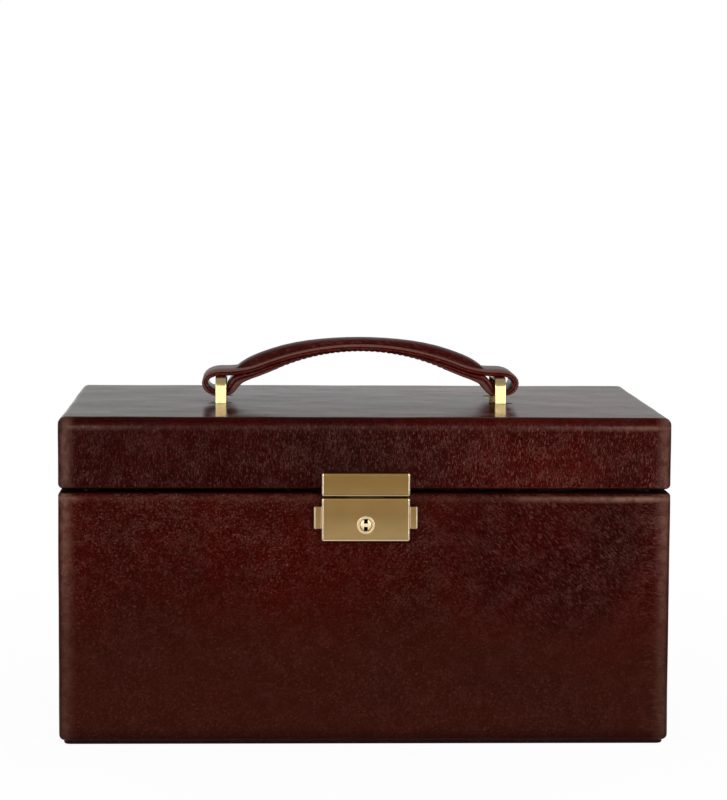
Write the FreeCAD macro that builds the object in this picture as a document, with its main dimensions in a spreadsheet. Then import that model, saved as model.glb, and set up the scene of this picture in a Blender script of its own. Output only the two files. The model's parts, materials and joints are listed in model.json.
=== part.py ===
import FreeCAD, Part
import math
import os
import re
import Sketcher

# Leather-covered jewellery case, millimetres, +Z up, front face towards -Y.
# The origin is the middle of the flat underside of the base panel.

doc = FreeCAD.newDocument("JewelleryCase")
sheet = doc.addObject("Spreadsheet::Sheet", "Sizes")

driving_sizes = [
    ("CaseWidth", 280, "width over the leather"),
    ("CaseDepth", 180, "depth over the leather"),
    ("BodyHeight", 114.2, "height of the leather body without the base panel"),
    ("LidHeight", 32.9, "height of the lid"),
    ("SeamGap", 1.2, "open seam between the lid and the body"),
    ("PlinthHeight", 2.5, "thickness of the base panel that shows"),
    ("PlinthInset", 2, "how far the base panel stands back"),
    ("CornerRadius", 4, "upright corners of the case"),
    ("RimRadius", 2.5, "leather edge at the seam"),
    ("TopRadius", 3.5, "leather edge round the lid top"),
    ("FootRadius", 2.5, "leather edge at the bottom"),
    ("LeatherThick", 1.5, "leather cover"),
    ("RimLeather", 1.2, "leather turned over a rim"),
    ("UnderTurn", 12, "leather turned under the bottom"),
    ("BoardThick", 6, "wall boards"),
    ("BottomThick", 5, "bottom board"),
    ("LidTopThick", 5, "lid top board"),
    ("FoamThick", 2, "foam under the lid leather"),
    ("LiningThick", 1, "suede lining"),
    ("PanelThick", 2.5, "ceiling panel of the lid"),
    ("FitPlay", 0.3, "play round pieces that are let into others"),
    ("SeatGap", 0.2, "gap between a resting piece and its seat"),
    ("MirrorWidth", 190, "mirror along X"),
    ("MirrorDepth", 105, "mirror along Y"),
    ("MirrorThick", 2.5, "mirror glass"),
    ("MirrorLip", 3, "lip of the surround over the mirror"),
    ("LipThick", 1, "thickness of that lip"),
    ("LedgeThick", 5, "tray ledge, away from the wall"),
    ("LedgeHeight", 8, "tray ledge, upright"),
    ("LowerDividerHeight", 48, "dividers on the floor"),
    ("LowerSplit", 8, "long lower divider, behind the middle"),
    ("LowerCross", 44, "cross dividers, from the middle"),
    ("DividerThick", 3, "dividers"),
    ("TrayHeight", 36, "lift-out tray"),
    ("TrayDrop", 2, "tray edge below the rim"),
    ("TrayPlay", 0.8, "play round the tray"),
    ("TrayBoard", 3, "tray floor and walls"),
    ("DividerDrop", 3, "tray dividers below the tray edge"),
    ("RingZone", 92, "width of the ring rolls"),
    ("RollHeight", 25, "ring rolls"),
    ("RollGap", 0.4, "slit between ring rolls"),
    ("RowDepth", 56, "front row of the tray"),
    ("PullWidth", 16, "pull tab"),
    ("PullThick", 1.2, "pull tab"),
    ("PullLength", 16, "pull tab"),
    ("PullRise", 1.5, "pull tab above the tray edge"),
    ("HingeLength", 32, "hinge"),
    ("HingeInset", 55, "from a side of the case to a hinge middle"),
    ("LeafWidth", 6.5, "hinge leaf on the rim"),
    ("LeafThick", 0.8, "hinge leaf"),
    ("KnuckleRadius", 2.2, "hinge barrel"),
    ("KnuckleGap", 0.3, "between barrel pieces"),
    ("PinRadius", 0.9, "hinge pin"),
    ("TurnPlay", 0.05, "running play of turning pieces"),
    ("HingeSetback", 1, "hinge axis behind the rear face"),
    ("StopReach", 1.3, "stop lug out of the barrel"),
    ("StopThick", 1, "stop lug"),
    ("StopOverlap", 3, "stop lug along the barrel"),
    ("StopAngle", 61, "degrees of each stop lug from level"),
    ("LeafScrewRadius", 0.8, "leaf screw shank"),
    ("LeafScrewHead", 1.5, "leaf screw head"),
    ("LeafScrewLength", 5, "leaf screw"),
    ("LeafScrewPitch", 11, "between leaf screws"),
    ("LockWidth", 40.4, "lock plates along X"),
    ("LockHeight", 20, "lock case"),
    ("LockDepth", 4.5, "lock out of the leather"),
    ("LockDrop", 2.5, "top of the lock case below the seam"),
    ("LockWall", 0.8, "lock sheet"),
    ("LockCorner", 1.2, "corners of the lock plates"),
    ("LockEdge", 1, "front edges of the lock plates"),
    ("HaspGap", 0.5, "between hasp plate and lock case"),
    ("HaspHeight", 10.9, "hasp plate"),
    ("HaspRelief", 0.4, "hasp plate back off the body"),
    ("ForkWidth", 16, "forked tongue"),
    ("ForkOpening", 11.6, "between its prongs"),
    ("ForkReach", 7.6, "prongs below the hasp plate"),
    ("ForkRoot", 5, "tongue up in the hasp plate"),
    ("ForkThick", 1.6, "tongue"),
    ("ForkNotch", 0.8, "catch notch in a prong"),
    ("EarReach", 3.5, "push ear out of the lock case"),
    ("EarHeight", 10, "push ear"),
    ("EarDrop", 4.3, "push ear below the lock case top"),
    ("EarThick", 1.8, "push ear and latch bar"),
    ("EarEdge", 0.8, "rounded ear edges"),
    ("BarHeight", 2.2, "latch bar"),
    ("HookWidth", 1.8, "latch hook"),
    ("HookHeight", 5.8, "latch hook with its bar"),
    ("StopFlange", 1.5, "flange that keeps an ear in"),
    ("CoilRadius", 1.05, "spring coil"),
    ("CoilWire", 0.18, "spring wire radius"),
    ("CoilPitch", 1.1, "spring pitch"),
    ("CoilPost", 8.7, "spring post from the middle"),
    ("KeyDrop", 12.5, "key axis below the lock case top"),
    ("PlugRadius", 2.85, "key plug"),
    ("PlugEdge", 1.1, "rounding of its face"),
    ("BezelRadius", 4.1, "keyhole ring"),
    ("BezelLip", 0.6, "keyhole ring over its hole"),
    ("BezelRise", 0.4, "keyhole ring out of the lock case"),
    ("KeywayWidth", 1.7, "keyway notch"),
    ("KeywayDepth", 2.4, "keyway notch"),
    ("KeywayBar", 1.9, "bar between the notches"),
    ("CamLength", 5, "cam from the key axis"),
    ("CamWidth", 2.6, "cam"),
    ("CamThick", 0.8, "cam"),
    ("TailRadius", 1.2, "plug tail in the cam"),
    ("PlateScrewRadius", 1.2, "lock and hasp screw shank"),
    ("PlateScrewHead", 2.3, "lock and hasp screw head"),
    ("PlateScrewSeat", 1.2, "depth of that head"),
    ("PlateScrewSpread", 14, "lock and hasp screws from the middle"),
    ("PlateScrewBite", 3, "hasp screw in the hasp plate"),
    ("HandleSpan", 134, "between the staples"),
    ("StapleReach", 40, "between the legs of a staple"),
    ("StapleHeight", 12.8, "staple above the lid"),
    ("StapleWidth", 5.2, "staple strip along X"),
    ("StapleThick", 2, "staple strip"),
    ("StapleBend", 5.5, "outer bend of a staple"),
    ("StapleLean", 1.1, "how far a staple leg leans in at its top"),
    ("StapleEdge", 0.4, "rounded staple edges"),
    ("SlotLength", 9.2, "leather slot round a leg"),
    ("SlotWidth", 3.2, "leather slot round a leg"),
    ("BackPlateThick", 1, "staple back plate"),
    ("BackPlateMargin", 3.4, "staple back plate past the legs"),
    ("StaplePeen", 0.6, "leg end below its back plate"),
    ("StrapWidth", 32, "handle strap"),
    ("StrapThick", 2.8, "handle strap at its eyes"),
    ("EyeRadius", 3.3, "inside of a strap eye"),
    ("EyeShift", 3.1, "eye middle outside its staple"),
    ("GripRise", 25.2, "underside of the grip above the lid"),
    ("GripThick", 3, "grip strap in the middle"),
    ("CoreRise", 2.4, "padded core in the middle"),
    ("CoreWidth", 21, "padded core"),
    ("CoreSpan", 116, "padded core end to end"),
    ("CoreEdge", 1.2, "rounded core edges"),
]
for row, (alias, number, note) in enumerate(driving_sizes, start=1):
    sheet.set(f"A{row}", note)
    sheet.set(f"B{row}", str(number))
    sheet.setAlias(f"B{row}", alias)
doc.recompute()

# Levels and faces, written with the names of the sheet.
rim = "(PlinthHeight + BodyHeight)"
seam = f"({rim} + SeamGap / 2)"
lid_rim = f"({rim} + SeamGap)"
lid_top = f"({lid_rim} + LidHeight)"
half_width = "(CaseWidth / 2)"
half_depth = "(CaseDepth / 2)"
board_x = "(CaseWidth / 2 - LeatherThick)"
board_y = "(CaseDepth / 2 - LeatherThick)"
inner_x = f"({board_x} - BoardThick)"
inner_y = f"({board_y} - BoardThick)"
lined_x = f"({inner_x} - LiningThick)"
lined_y = f"({inner_y} - LiningThick)"
board_low = "(PlinthHeight + LeatherThick)"
board_top = f"({rim} - RimLeather)"
floor = f"({board_low} + BottomThick)"
lined_floor = f"({floor} + LiningThick)"
lid_board_low = f"({lid_rim} + RimLeather)"
foam_top = f"({lid_top} - LeatherThick)"
lid_board_top = f"({foam_top} - FoamThick)"
ceiling = f"({lid_board_top} - LidTopThick)"
panel_low = f"({ceiling} - PanelThick)"
tray_low = f"({rim} - TrayDrop - TrayHeight)"
tray_top = f"({rim} - TrayDrop)"
tray_deck = f"({tray_low} + TrayBoard)"
tray_x = f"({lined_x} - TrayPlay)"
tray_y = f"({lined_y} - TrayPlay)"
hinge_y = f"({half_depth} + HingeSetback)"
lock_top = f"({seam} - LockDrop)"
lock_low = f"({lock_top} - LockHeight)"
lock_face = f"({half_depth} + LockDepth)"
lock_middle = f"({half_depth} + LockDepth / 2)"
hasp_low = f"({lock_top} + HaspGap)"
key_z = f"({lock_top} - KeyDrop)"
ear_top = f"({lock_top} - EarDrop)"
ear_low = f"({ear_top} - EarHeight)"
plate_screw_low = f"({lock_low} + LockWall + PlateScrewHead)"
plate_screw_high = f"({lid_board_low} + LockWall + PlateScrewHead)"
leg_low = f"({ceiling} - BackPlateThick - StaplePeen)"

nodes = []


def named(text):
    """Write sheet names in full, so that an expression finds them."""
    return re.sub(r"\b([A-Z][A-Za-z]+)\b", r"Sizes.\1", text)


def value(text):
    return float(sheet.evalExpression(named(text)))


def bind(item, prop, text):
    item.setExpression(prop, named(text))


def node(item, label):
    item.Label = label
    nodes.append(item)
    return item


def place(item, corner):
    for axis, text in zip("xyz", corner):
        bind(item, f"Placement.Base.{axis}", text)


def box_of(low, high):
    """Corner and extent of a box from the expressions of its two corners."""
    extent = [f"({top}) - ({bottom})" for bottom, top in zip(low, high)]
    return low, extent


def plain_box(label, low, high):
    box = doc.addObject("Part::Box", label)
    corner, extent = box_of(low, high)
    for prop, text in zip(("Length", "Width", "Height"), extent):
        bind(box, prop, text)
    place(box, corner)
    return box


def new_body(label):
    body = doc.addObject("PartDesign::Body", label)
    return node(body, label)


def body_box(body, kind, low, high):
    box = body.newObject(f"PartDesign::{kind}Box", f"{body.Label}_{kind.lower()}_box")
    corner, extent = box_of(low, high)
    for prop, text in zip(("Length", "Width", "Height"), extent):
        bind(box, prop, text)
    place(box, corner)
    doc.recompute()
    return box


def add_box(body, low, high):
    return body_box(body, "Additive", low, high)


def cut_box(body, low, high):
    return body_box(body, "Subtractive", low, high)


directions = {
    "x": FreeCAD.Rotation(FreeCAD.Vector(0, 1, 0), 90),
    "y": FreeCAD.Rotation(FreeCAD.Vector(1, 0, 0), -90),
    "z": FreeCAD.Rotation(),
}


def body_round(body, kind, axis, start, length, radius, second_radius=None):
    """Cylinder, or cone with a second radius, from a start point along +X, +Y or +Z."""
    shape = "Cone" if second_radius else "Cylinder"
    item = body.newObject(f"PartDesign::{kind}{shape}", f"{body.Label}_{kind.lower()}_round")
    item.Placement = FreeCAD.Placement(FreeCAD.Vector(), directions[axis])
    bind(item, "Height", length)
    if second_radius:
        bind(item, "Radius1", radius)
        bind(item, "Radius2", second_radius)
    else:
        bind(item, "Radius", radius)
    place(item, start)
    doc.recompute()
    return item


def add_round(body, axis, start, length, radius, second_radius=None):
    return body_round(body, "Additive", axis, start, length, radius, second_radius)


def cut_round(body, axis, start, length, radius, second_radius=None):
    return body_round(body, "Subtractive", axis, start, length, radius, second_radius)


def round_edges(body, radius, wanted):
    """Round those edges of a body that the test picks."""
    base = body.Tip
    names = [f"Edge{i}" for i, edge in enumerate(base.Shape.Edges, start=1) if wanted(edge)]
    fillet = body.newObject("PartDesign::Fillet", f"{body.Label}_fillet")
    fillet.Base = (base, names)
    bind(fillet, "Radius", radius)
    doc.recompute()
    return fillet


def runs_along(edge, axis):
    start = edge.valueAt(edge.FirstParameter)
    end = edge.valueAt(edge.LastParameter)
    span = (end - start).normalize() if (end - start).Length > 1e-6 else FreeCAD.Vector()
    return abs(getattr(span, axis)) > 0.999


def lies_at(edge, axis, level):
    box = edge.BoundBox
    low = getattr(box, f"{axis.upper()}Min")
    high = getattr(box, f"{axis.upper()}Max")
    return abs(low - level) < 1e-4 and abs(high - level) < 1e-4


def minus(text):
    return f"-({text})"


def around(middle, size):
    """Low and high side of a size about a middle."""
    return f"({middle}) - ({size}) / 2", f"({middle}) + ({size}) / 2"


def ring(label, outer, inner, low, high):
    """Upright lining between two rectangles given by their half sizes."""
    outside = plain_box(
        f"{label}_outside", (minus(outer[0]), minus(outer[1]), low), (outer[0], outer[1], high)
    )
    inside = plain_box(
        f"{label}_inside", (minus(inner[0]), minus(inner[1]), low), (inner[0], inner[1], high)
    )
    cut = doc.addObject("Part::Cut", label)
    cut.Base = outside
    cut.Tool = inside
    return node(cut, label)


def group(label, items):
    compound = doc.addObject("Part::Compound", label)
    compound.Links = items
    return node(compound, label)


def copies(label, master, corners, rotation=None):
    """A group of placed copies of one piece."""
    links = []
    for corner in corners:
        link = doc.addObject("App::Link", f"{label}_copy")
        link.LinkedObject = master
        link.Placement = FreeCAD.Placement(FreeCAD.Vector(), rotation or FreeCAD.Rotation())
        place(link, corner)
        links.append(link)
    return group(label, links)


hinge_middles = [("left", f"(HingeInset - {half_width})"), ("right", f"({half_width} - HingeInset)")]
staple_middles = [("left", "(-HandleSpan / 2)"), ("right", "(HandleSpan / 2)")]
leg_middles = [minus("StapleReach / 2"), "StapleReach / 2"]
screw_sides = [minus("PlateScrewSpread"), "PlateScrewSpread"]


# Base panel: the plate that the case stands on, with a boss that fills the leather turn-in.
base_panel = new_body("base_panel")
plinth_x = f"({half_width} - PlinthInset)"
plinth_y = f"({half_depth} - PlinthInset)"
add_box(base_panel, (minus(plinth_x), minus(plinth_y), "0"), (plinth_x, plinth_y, "PlinthHeight"))
round_edges(base_panel, "CornerRadius", lambda edge: runs_along(edge, "z"))
boss_x = f"({half_width} - UnderTurn - FitPlay)"
boss_y = f"({half_depth} - UnderTurn - FitPlay)"
add_box(base_panel, (minus(boss_x), minus(boss_y), "PlinthHeight"), (boss_x, boss_y, board_low))


def leather_block(label, low, high, low_radius, high_radius):
    """Leather outside with its rounded corners and edges, still solid."""
    body = new_body(label)
    add_box(body, (minus(half_width), minus(half_depth), low), (half_width, half_depth, high))
    round_edges(body, "CornerRadius", lambda edge: runs_along(edge, "z"))
    round_edges(body, low_radius, lambda edge: lies_at(edge, "z", value(low)))
    round_edges(body, high_radius, lambda edge: lies_at(edge, "z", value(high)))
    return body


def hollow(body, half_x, half_y, low, high):
    cut_box(body, (minus(half_x), minus(half_y), low), (half_x, half_y, high))


def hinge_notches(body, low, high, barrel_low, barrel_high):
    """Openings in a rim for the leaves, and behind them for the barrels."""
    for _, middle in hinge_middles:
        left, right = around(middle, "HingeLength + 2 * FitPlay")
        leaf_front = f"{half_depth} - LeafWidth - FitPlay"
        cut_box(body, (left, leaf_front, low), (right, f"{half_depth} + FitPlay", high))
        cut_box(body, (left, board_y, barrel_low), (right, f"{half_depth} + FitPlay", barrel_high))


barrel_low = f"({seam} - KnuckleRadius - FitPlay)"
barrel_high = f"({seam} + KnuckleRadius + FitPlay)"

body_leather = leather_block("body_leather", "PlinthHeight", rim, "FootRadius", "RimRadius")
hollow(body_leather, board_x, board_y, board_low, board_top)
hollow(body_leather, lined_x, lined_y, board_top, rim)
under_x = f"({half_width} - UnderTurn)"
under_y = f"({half_depth} - UnderTurn)"
hollow(body_leather, under_x, under_y, "PlinthHeight", board_low)
hinge_notches(body_leather, board_top, rim, barrel_low, rim)
for side in screw_sides:
    cut_round(
        body_leather, "y", (side, minus(half_depth), plate_screw_low), "LeatherThick", "PlateScrewRadius"
    )

lid_leather = leather_block("lid_leather", lid_rim, lid_top, "RimRadius", "TopRadius")
hollow(lid_leather, board_x, board_y, lid_board_low, foam_top)
hollow(lid_leather, lined_x, lined_y, lid_rim, lid_board_low)
hinge_notches(lid_leather, lid_rim, lid_board_low, lid_rim, barrel_high)
for side in screw_sides:
    cut_round(
        lid_leather, "y", (side, minus(half_depth), plate_screw_high), "LeatherThick", "PlateScrewRadius"
    )
for _, middle in staple_middles:
    for leg in leg_middles:
        left, right = around(middle, "SlotLength - SlotWidth")
        front, back = around(leg, "SlotWidth")
        cut_box(lid_leather, (left, front, foam_top), (right, back, lid_top))
        cut_round(lid_leather, "z", (left, leg, foam_top), "LeatherThick", "SlotWidth / 2")
        cut_round(lid_leather, "z", (right, leg, foam_top), "LeatherThick", "SlotWidth / 2")


def wall_boards(name, low, high):
    """Four boards of a box: front and back run through, the sides stand between them."""
    front = new_body(f"{name}_front_board")
    add_box(front, (minus(board_x), minus(board_y), low), (board_x, minus(inner_y), high))
    back = new_body(f"{name}_back_board")
    add_box(back, (minus(board_x), inner_y, low), (board_x, board_y, high))
    left = plain_box(
        f"{name}_left_board", (minus(board_x), minus(inner_y), low), (minus(inner_x), inner_y, high)
    )
    node(left, f"{name}_left_board")
    right = plain_box(f"{name}_right_board", (inner_x, minus(inner_y), low), (board_x, inner_y, high))
    node(right, f"{name}_right_board")
    return front, back


def leaf_screw_places(middle):
    return [f"{middle} - LeafScrewPitch", middle, f"{middle} + LeafScrewPitch"]


leaf_screw_y = f"({half_depth} - LeatherThick - BoardThick / 2 + LeafThick)"


def drill_leaf_screws(board, start):
    for _, middle in hinge_middles:
        for along in leaf_screw_places(middle):
            cut_round(board, "z", (along, leaf_screw_y, start), "LeafScrewLength", "LeafScrewRadius")


def drill_plate_screws(board, level):
    for side in screw_sides:
        cut_round(board, "y", (side, minus(board_y), level), "BoardThick", "PlateScrewRadius")
        seat = f"-({inner_y}) - PlateScrewSeat"
        cut_round(board, "y", (side, seat, level), "PlateScrewSeat", "PlateScrewHead")


body_front, body_back = wall_boards("body", board_low, board_top)
drill_leaf_screws(body_back, f"{board_top} - LeafScrewLength")
drill_plate_screws(body_front, plate_screw_low)
bottom = plain_box(
    "body_bottom_board",
    (minus(inner_x), minus(inner_y), board_low),
    (inner_x, inner_y, floor),
)
node(bottom, "body_bottom_board")

lid_front, lid_back = wall_boards("lid", lid_board_low, ceiling)
drill_leaf_screws(lid_back, lid_board_low)
drill_plate_screws(lid_front, plate_screw_high)


def leg_holes(body, low, high):
    """Close holes for the four staple legs."""
    for _, middle in staple_middles:
        for leg in leg_middles:
            left, right = around(middle, "StapleWidth")
            front, back = around(leg, "StapleThick")
            cut_box(body, (left, front, low), (right, back, high))


def lid_layer(label, low, high):
    body = new_body(label)
    add_box(body, (minus(board_x), minus(board_y), low), (board_x, board_y, high))
    leg_holes(body, low, high)
    return body


lid_layer("lid_foam", lid_board_top, foam_top)
lid_layer("lid_top_board", ceiling, lid_board_top)

# Linings.
ring("body_lining", (inner_x, inner_y), (lined_x, lined_y), floor, board_top)
floor_lining = plain_box(
    "floor_lining", (minus(lined_x), minus(lined_y), floor), (lined_x, lined_y, lined_floor)
)
node(floor_lining, "floor_lining")
ring("lid_lining", (inner_x, inner_y), (lined_x, lined_y), lid_board_low, panel_low)

# Ceiling panel of the lid, with pockets over the staple back plates.
lid_panel = new_body("lid_panel")
add_box(lid_panel, (minus(inner_x), minus(inner_y), panel_low), (inner_x, inner_y, ceiling))
back_plate_y = "(StapleReach / 2 + BackPlateMargin)"
for _, middle in staple_middles:
    left, right = around(middle, "StapleWidth + 2 * BackPlateMargin + 2 * FitPlay")
    pocket_y = f"({back_plate_y} + FitPlay)"
    pocket_low = f"{leg_low} - FitPlay"
    cut_box(lid_panel, (left, minus(pocket_y), pocket_low), (right, pocket_y, ceiling))

# Mirror and the padded surround whose lip holds it.
mirror_low = f"({panel_low} - MirrorThick)"
mirror = plain_box(
    "mirror",
    ("-MirrorWidth / 2", "-MirrorDepth / 2", mirror_low),
    ("MirrorWidth / 2", "MirrorDepth / 2", panel_low),
)
node(mirror, "mirror")
surround = new_body("mirror_surround")
surround_x = f"({lined_x} - SeatGap)"
surround_y = f"({lined_y} - SeatGap)"
surround_low = f"({mirror_low} - LipThick)"
add_box(
    surround, (minus(surround_x), minus(surround_y), surround_low), (surround_x, surround_y, panel_low)
)
hollow(surround, "(MirrorWidth / 2 + SeatGap)", "(MirrorDepth / 2 + SeatGap)", mirror_low, panel_low)
hollow(surround, "(MirrorWidth / 2 - MirrorLip)", "(MirrorDepth / 2 - MirrorLip)", surround_low, mirror_low)

# Lower part of the inside: tray ledges and a crossed set of dividers.
ledge_top = f"({tray_low} - SeatGap)"
ledge_low = f"({ledge_top} - LedgeHeight)"
left_ledge = plain_box(
    "tray_ledge_left",
    (minus(lined_x), minus(lined_y), ledge_low),
    (f"-({lined_x}) + LedgeThick", lined_y, ledge_top),
)
right_ledge = plain_box(
    "tray_ledge_right",
    (f"{lined_x} - LedgeThick", minus(lined_y), ledge_low),
    (lined_x, lined_y, ledge_top),
)
group("tray_ledges", [left_ledge, right_ledge])

lower_top = f"({lined_floor} + LowerDividerHeight)"
lower_half = f"({lined_floor} + LowerDividerHeight / 2)"
cross_middles = [minus("LowerCross"), "LowerCross"]
split_front, split_back = around("LowerSplit", "DividerThick")
long_divider = new_body("lower_divider_long")
add_box(long_divider, (minus(lined_x), split_front, lined_floor), (lined_x, split_back, lower_top))
for middle in cross_middles:
    left, right = around(middle, "DividerThick + SeatGap")
    cut_box(long_divider, (left, split_front, lower_half), (right, split_back, lower_top))

cross_dividers = []
for middle in cross_middles:
    left, right = around(middle, "DividerThick")
    board = plain_box("cross_board", (left, minus(lined_y), lined_floor), (right, lined_y, lower_top))
    slot_front, slot_back = around("LowerSplit", "DividerThick + SeatGap")
    slot = plain_box("cross_slot", (left, slot_front, lined_floor), (right, slot_back, lower_half))
    halved = doc.addObject("Part::Cut", "cross_divider")
    halved.Base = board
    halved.Tool = slot
    cross_dividers.append(halved)
group("lower_cross_dividers", cross_dividers)


# Hinges: butt leaves on the rims, barrels outside the rear face, lugs that stop the lid.
def barrel_span(middle, first, last):
    """Part of a barrel from one fraction of its length to another, with the side gap off."""
    start = f"({middle}) + ({first}) * HingeLength"
    end = f"({middle}) + ({last}) * HingeLength"
    return start, end


def stop_lug(body, start, length, inner_radius, angle):
    """A lug that stands out of the barrel at an angle over level, seen along the axis."""
    lug = body.newObject("PartDesign::AdditiveBox", f"{body.Label}_stop")
    reach = f"KnuckleRadius + StopReach - ({inner_radius})"
    bind(lug, "Length", length)
    bind(lug, "Width", reach)
    bind(lug, "Height", "StopThick")
    turn = value(angle)
    lug.Placement = FreeCAD.Placement(FreeCAD.Vector(), FreeCAD.Rotation(FreeCAD.Vector(1, 0, 0), turn))
    bind(lug, "Placement.Rotation.Angle", angle)
    out = f"cos({angle}) * ({inner_radius}) + sin({angle}) * StopThick / 2"
    up = f"sin({angle}) * ({inner_radius}) - cos({angle}) * StopThick / 2"
    place(lug, (start, f"{hinge_y} + {out}", f"{seam} + {up}"))
    doc.recompute()


def countersink(body, middle, base, upward):
    """Screw holes of one leaf, wide at the face that looks into the seam."""
    radii = ("LeafScrewRadius", "LeafScrewHead") if upward else ("LeafScrewHead", "LeafScrewRadius")
    for along in leaf_screw_places(middle):
        cut_round(body, "z", (along, leaf_screw_y, base), "LeafThick", *radii)


third = "1 / 6"
for side, middle in hinge_middles:
    left, right = around(middle, "HingeLength")
    mid_start, mid_end = barrel_span(middle, f"-{third}", third)
    inset_start = f"{mid_start} - KnuckleGap / 2"
    inset_end = f"{mid_end} + KnuckleGap / 2"
    relief_y = f"{hinge_y} - KnuckleRadius - KnuckleGap"
    behind_y = f"{hinge_y} + KnuckleRadius + KnuckleGap"

    leaf = new_body(f"hinge_body_leaf_{side}")
    leaf_front = f"{half_depth} - LeafWidth"
    add_box(leaf, (left, leaf_front, board_top), (right, hinge_y, f"{board_top} + LeafThick"))
    add_round(leaf, "x", (left, hinge_y, seam), "HingeLength", "KnuckleRadius")
    cut_box(leaf, (inset_start, relief_y, barrel_low), (inset_end, behind_y, barrel_high))
    stop_lug(leaf, f"{inset_start} - StopOverlap", "StopOverlap", "PinRadius + StopThick", "-StopAngle")
    stop_lug(leaf, inset_end, "StopOverlap", "PinRadius + StopThick", "-StopAngle")
    cut_round(leaf, "x", (left, hinge_y, seam), "HingeLength", "PinRadius")
    countersink(leaf, middle, board_top, True)

    leaf = new_body(f"hinge_lid_leaf_{side}")
    lid_leaf_low = f"{lid_board_low} - LeafThick"
    add_box(leaf, (left, leaf_front, lid_leaf_low), (right, hinge_y, lid_board_low))
    outer_left = f"{mid_start} + KnuckleGap / 2"
    outer_right = f"{mid_end} - KnuckleGap / 2"
    cut_box(leaf, (left, relief_y, barrel_low), (outer_left, behind_y, barrel_high))
    cut_box(leaf, (outer_right, relief_y, barrel_low), (right, behind_y, barrel_high))
    knuckle = f"{outer_right} - ({outer_left})"
    add_round(leaf, "x", (outer_left, hinge_y, seam), knuckle, "KnuckleRadius")
    stop_lug(leaf, outer_left, knuckle, "PinRadius + StopThick", "StopAngle")
    reach = f"{knuckle} + 2 * StopOverlap"
    stop_lug(leaf, f"{outer_left} - StopOverlap", reach, "KnuckleRadius + KnuckleGap", "StopAngle")
    cut_round(leaf, "x", (outer_left, hinge_y, seam), knuckle, "PinRadius + TurnPlay")
    countersink(leaf, middle, lid_leaf_low, False)

pins = []
for side, middle in hinge_middles:
    pin = doc.addObject("Part::Cylinder", f"hinge_pin_{side}")
    pin.Placement = FreeCAD.Placement(FreeCAD.Vector(), directions["x"])
    bind(pin, "Radius", "PinRadius")
    bind(pin, "Height", "HingeLength + 2 * FitPlay")
    place(pin, (f"{middle} - HingeLength / 2 - FitPlay", hinge_y, seam))
    pins.append(pin)
group("hinge_pins", pins)


def half_profile(body, label, points):
    """Closed half outline about the upright axis, from radius and height expressions."""
    plane = next(item for item in body.Origin.OriginFeatures if item.Role == "XZ_Plane")
    sketch = body.newObject("Sketcher::SketchObject", label)
    sketch.AttachmentSupport = (plane, [""])
    sketch.MapMode = "FlatFace"
    spots = [FreeCAD.Vector(value(radius), value(height), 0) for radius, height in points]
    count = len(spots)
    for i in range(count):
        sketch.addGeometry(Part.LineSegment(spots[i], spots[(i + 1) % count]))
    for i in range(count):
        sketch.addConstraint(Sketcher.Constraint("Coincident", i, 2, (i + 1) % count, 1))
    for i, (radius, height) in enumerate(points):
        for kind, text, number in (("DistanceX", radius, spots[i].x), ("DistanceY", height, spots[i].y)):
            if text == "0":
                aligned = "PointOnObject"
                axis_line = -2 if kind == "DistanceX" else -1
                sketch.addConstraint(Sketcher.Constraint(aligned, i, 1, axis_line))
            else:
                index = sketch.addConstraint(Sketcher.Constraint(kind, -1, 1, i, 1, number))
                bind(sketch, f"Constraints[{index}]", text)
    turned = body.newObject("PartDesign::Revolution", f"{label}_turned")
    turned.Profile = sketch
    turned.ReferenceAxis = (sketch, ["V_Axis"])
    turned.Angle = 360
    doc.recompute()
    return body


leaf_screw = half_profile(
    doc.addObject("PartDesign::Body", "leaf_screw"),
    "leaf_screw_outline",
    [
        ("0", "-LeafScrewLength"),
        ("LeafScrewRadius", "-LeafScrewLength"),
        ("LeafScrewRadius", "0"),
        ("LeafScrewHead", "LeafThick"),
        ("0", "LeafThick"),
    ],
)
screw_spots = [along for _, middle in hinge_middles for along in leaf_screw_places(middle)]
copies("hinge_body_screws", leaf_screw, [(along, leaf_screw_y, board_top) for along in screw_spots])
copies(
    "hinge_lid_screws",
    leaf_screw,
    [(along, leaf_screw_y, lid_board_low) for along in screw_spots],
    FreeCAD.Rotation(FreeCAD.Vector(1, 0, 0), 180),
)

# Lock case: a pressed brass box, open behind, on the front of the body.
lock_case = new_body("lock_case")
lock_left, lock_right = around("0", "LockWidth")
add_box(
    lock_case, (lock_left, minus(lock_face), lock_low), (lock_right, minus(half_depth), lock_top)
)
round_edges(lock_case, "LockCorner", lambda edge: runs_along(edge, "y"))
round_edges(lock_case, "LockEdge", lambda edge: lies_at(edge, "y", -value(lock_face)))
cut_box(
    lock_case,
    ("-LockWidth / 2 + LockWall", f"-({lock_face}) + LockWall", f"{lock_low} + LockWall"),
    ("LockWidth / 2 - LockWall", minus(half_depth), f"{lock_top} - LockWall"),
)
ear_front = f"(-({lock_middle}) - EarThick / 2)"
ear_back = f"(-({lock_middle}) + EarThick / 2)"
for start, end in ((lock_left, "-LockWidth / 2 + LockWall"), ("LockWidth / 2 - LockWall", lock_right)):
    cut_box(
        lock_case,
        (start, f"{ear_front} - SeatGap", f"{ear_low} - SeatGap"),
        (end, f"{ear_back} + SeatGap", f"{ear_top} + SeatGap"),
    )
fork_left, fork_right = around("0", "ForkWidth")
fork_front, fork_back = around(minus(lock_middle), "ForkThick")
fork_play = "(2 * FitPlay)"
cut_box(
    lock_case,
    (f"{fork_left} - {fork_play}", f"{fork_front} - {fork_play}", f"{lock_top} - LockWall"),
    (f"{fork_right} + {fork_play}", f"{fork_back} + {fork_play}", lock_top),
)
sleeve_radius = "BezelRadius - BezelLip"
cut_round(lock_case, "y", ("0", minus(lock_face), key_z), "LockWall", sleeve_radius)

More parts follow.
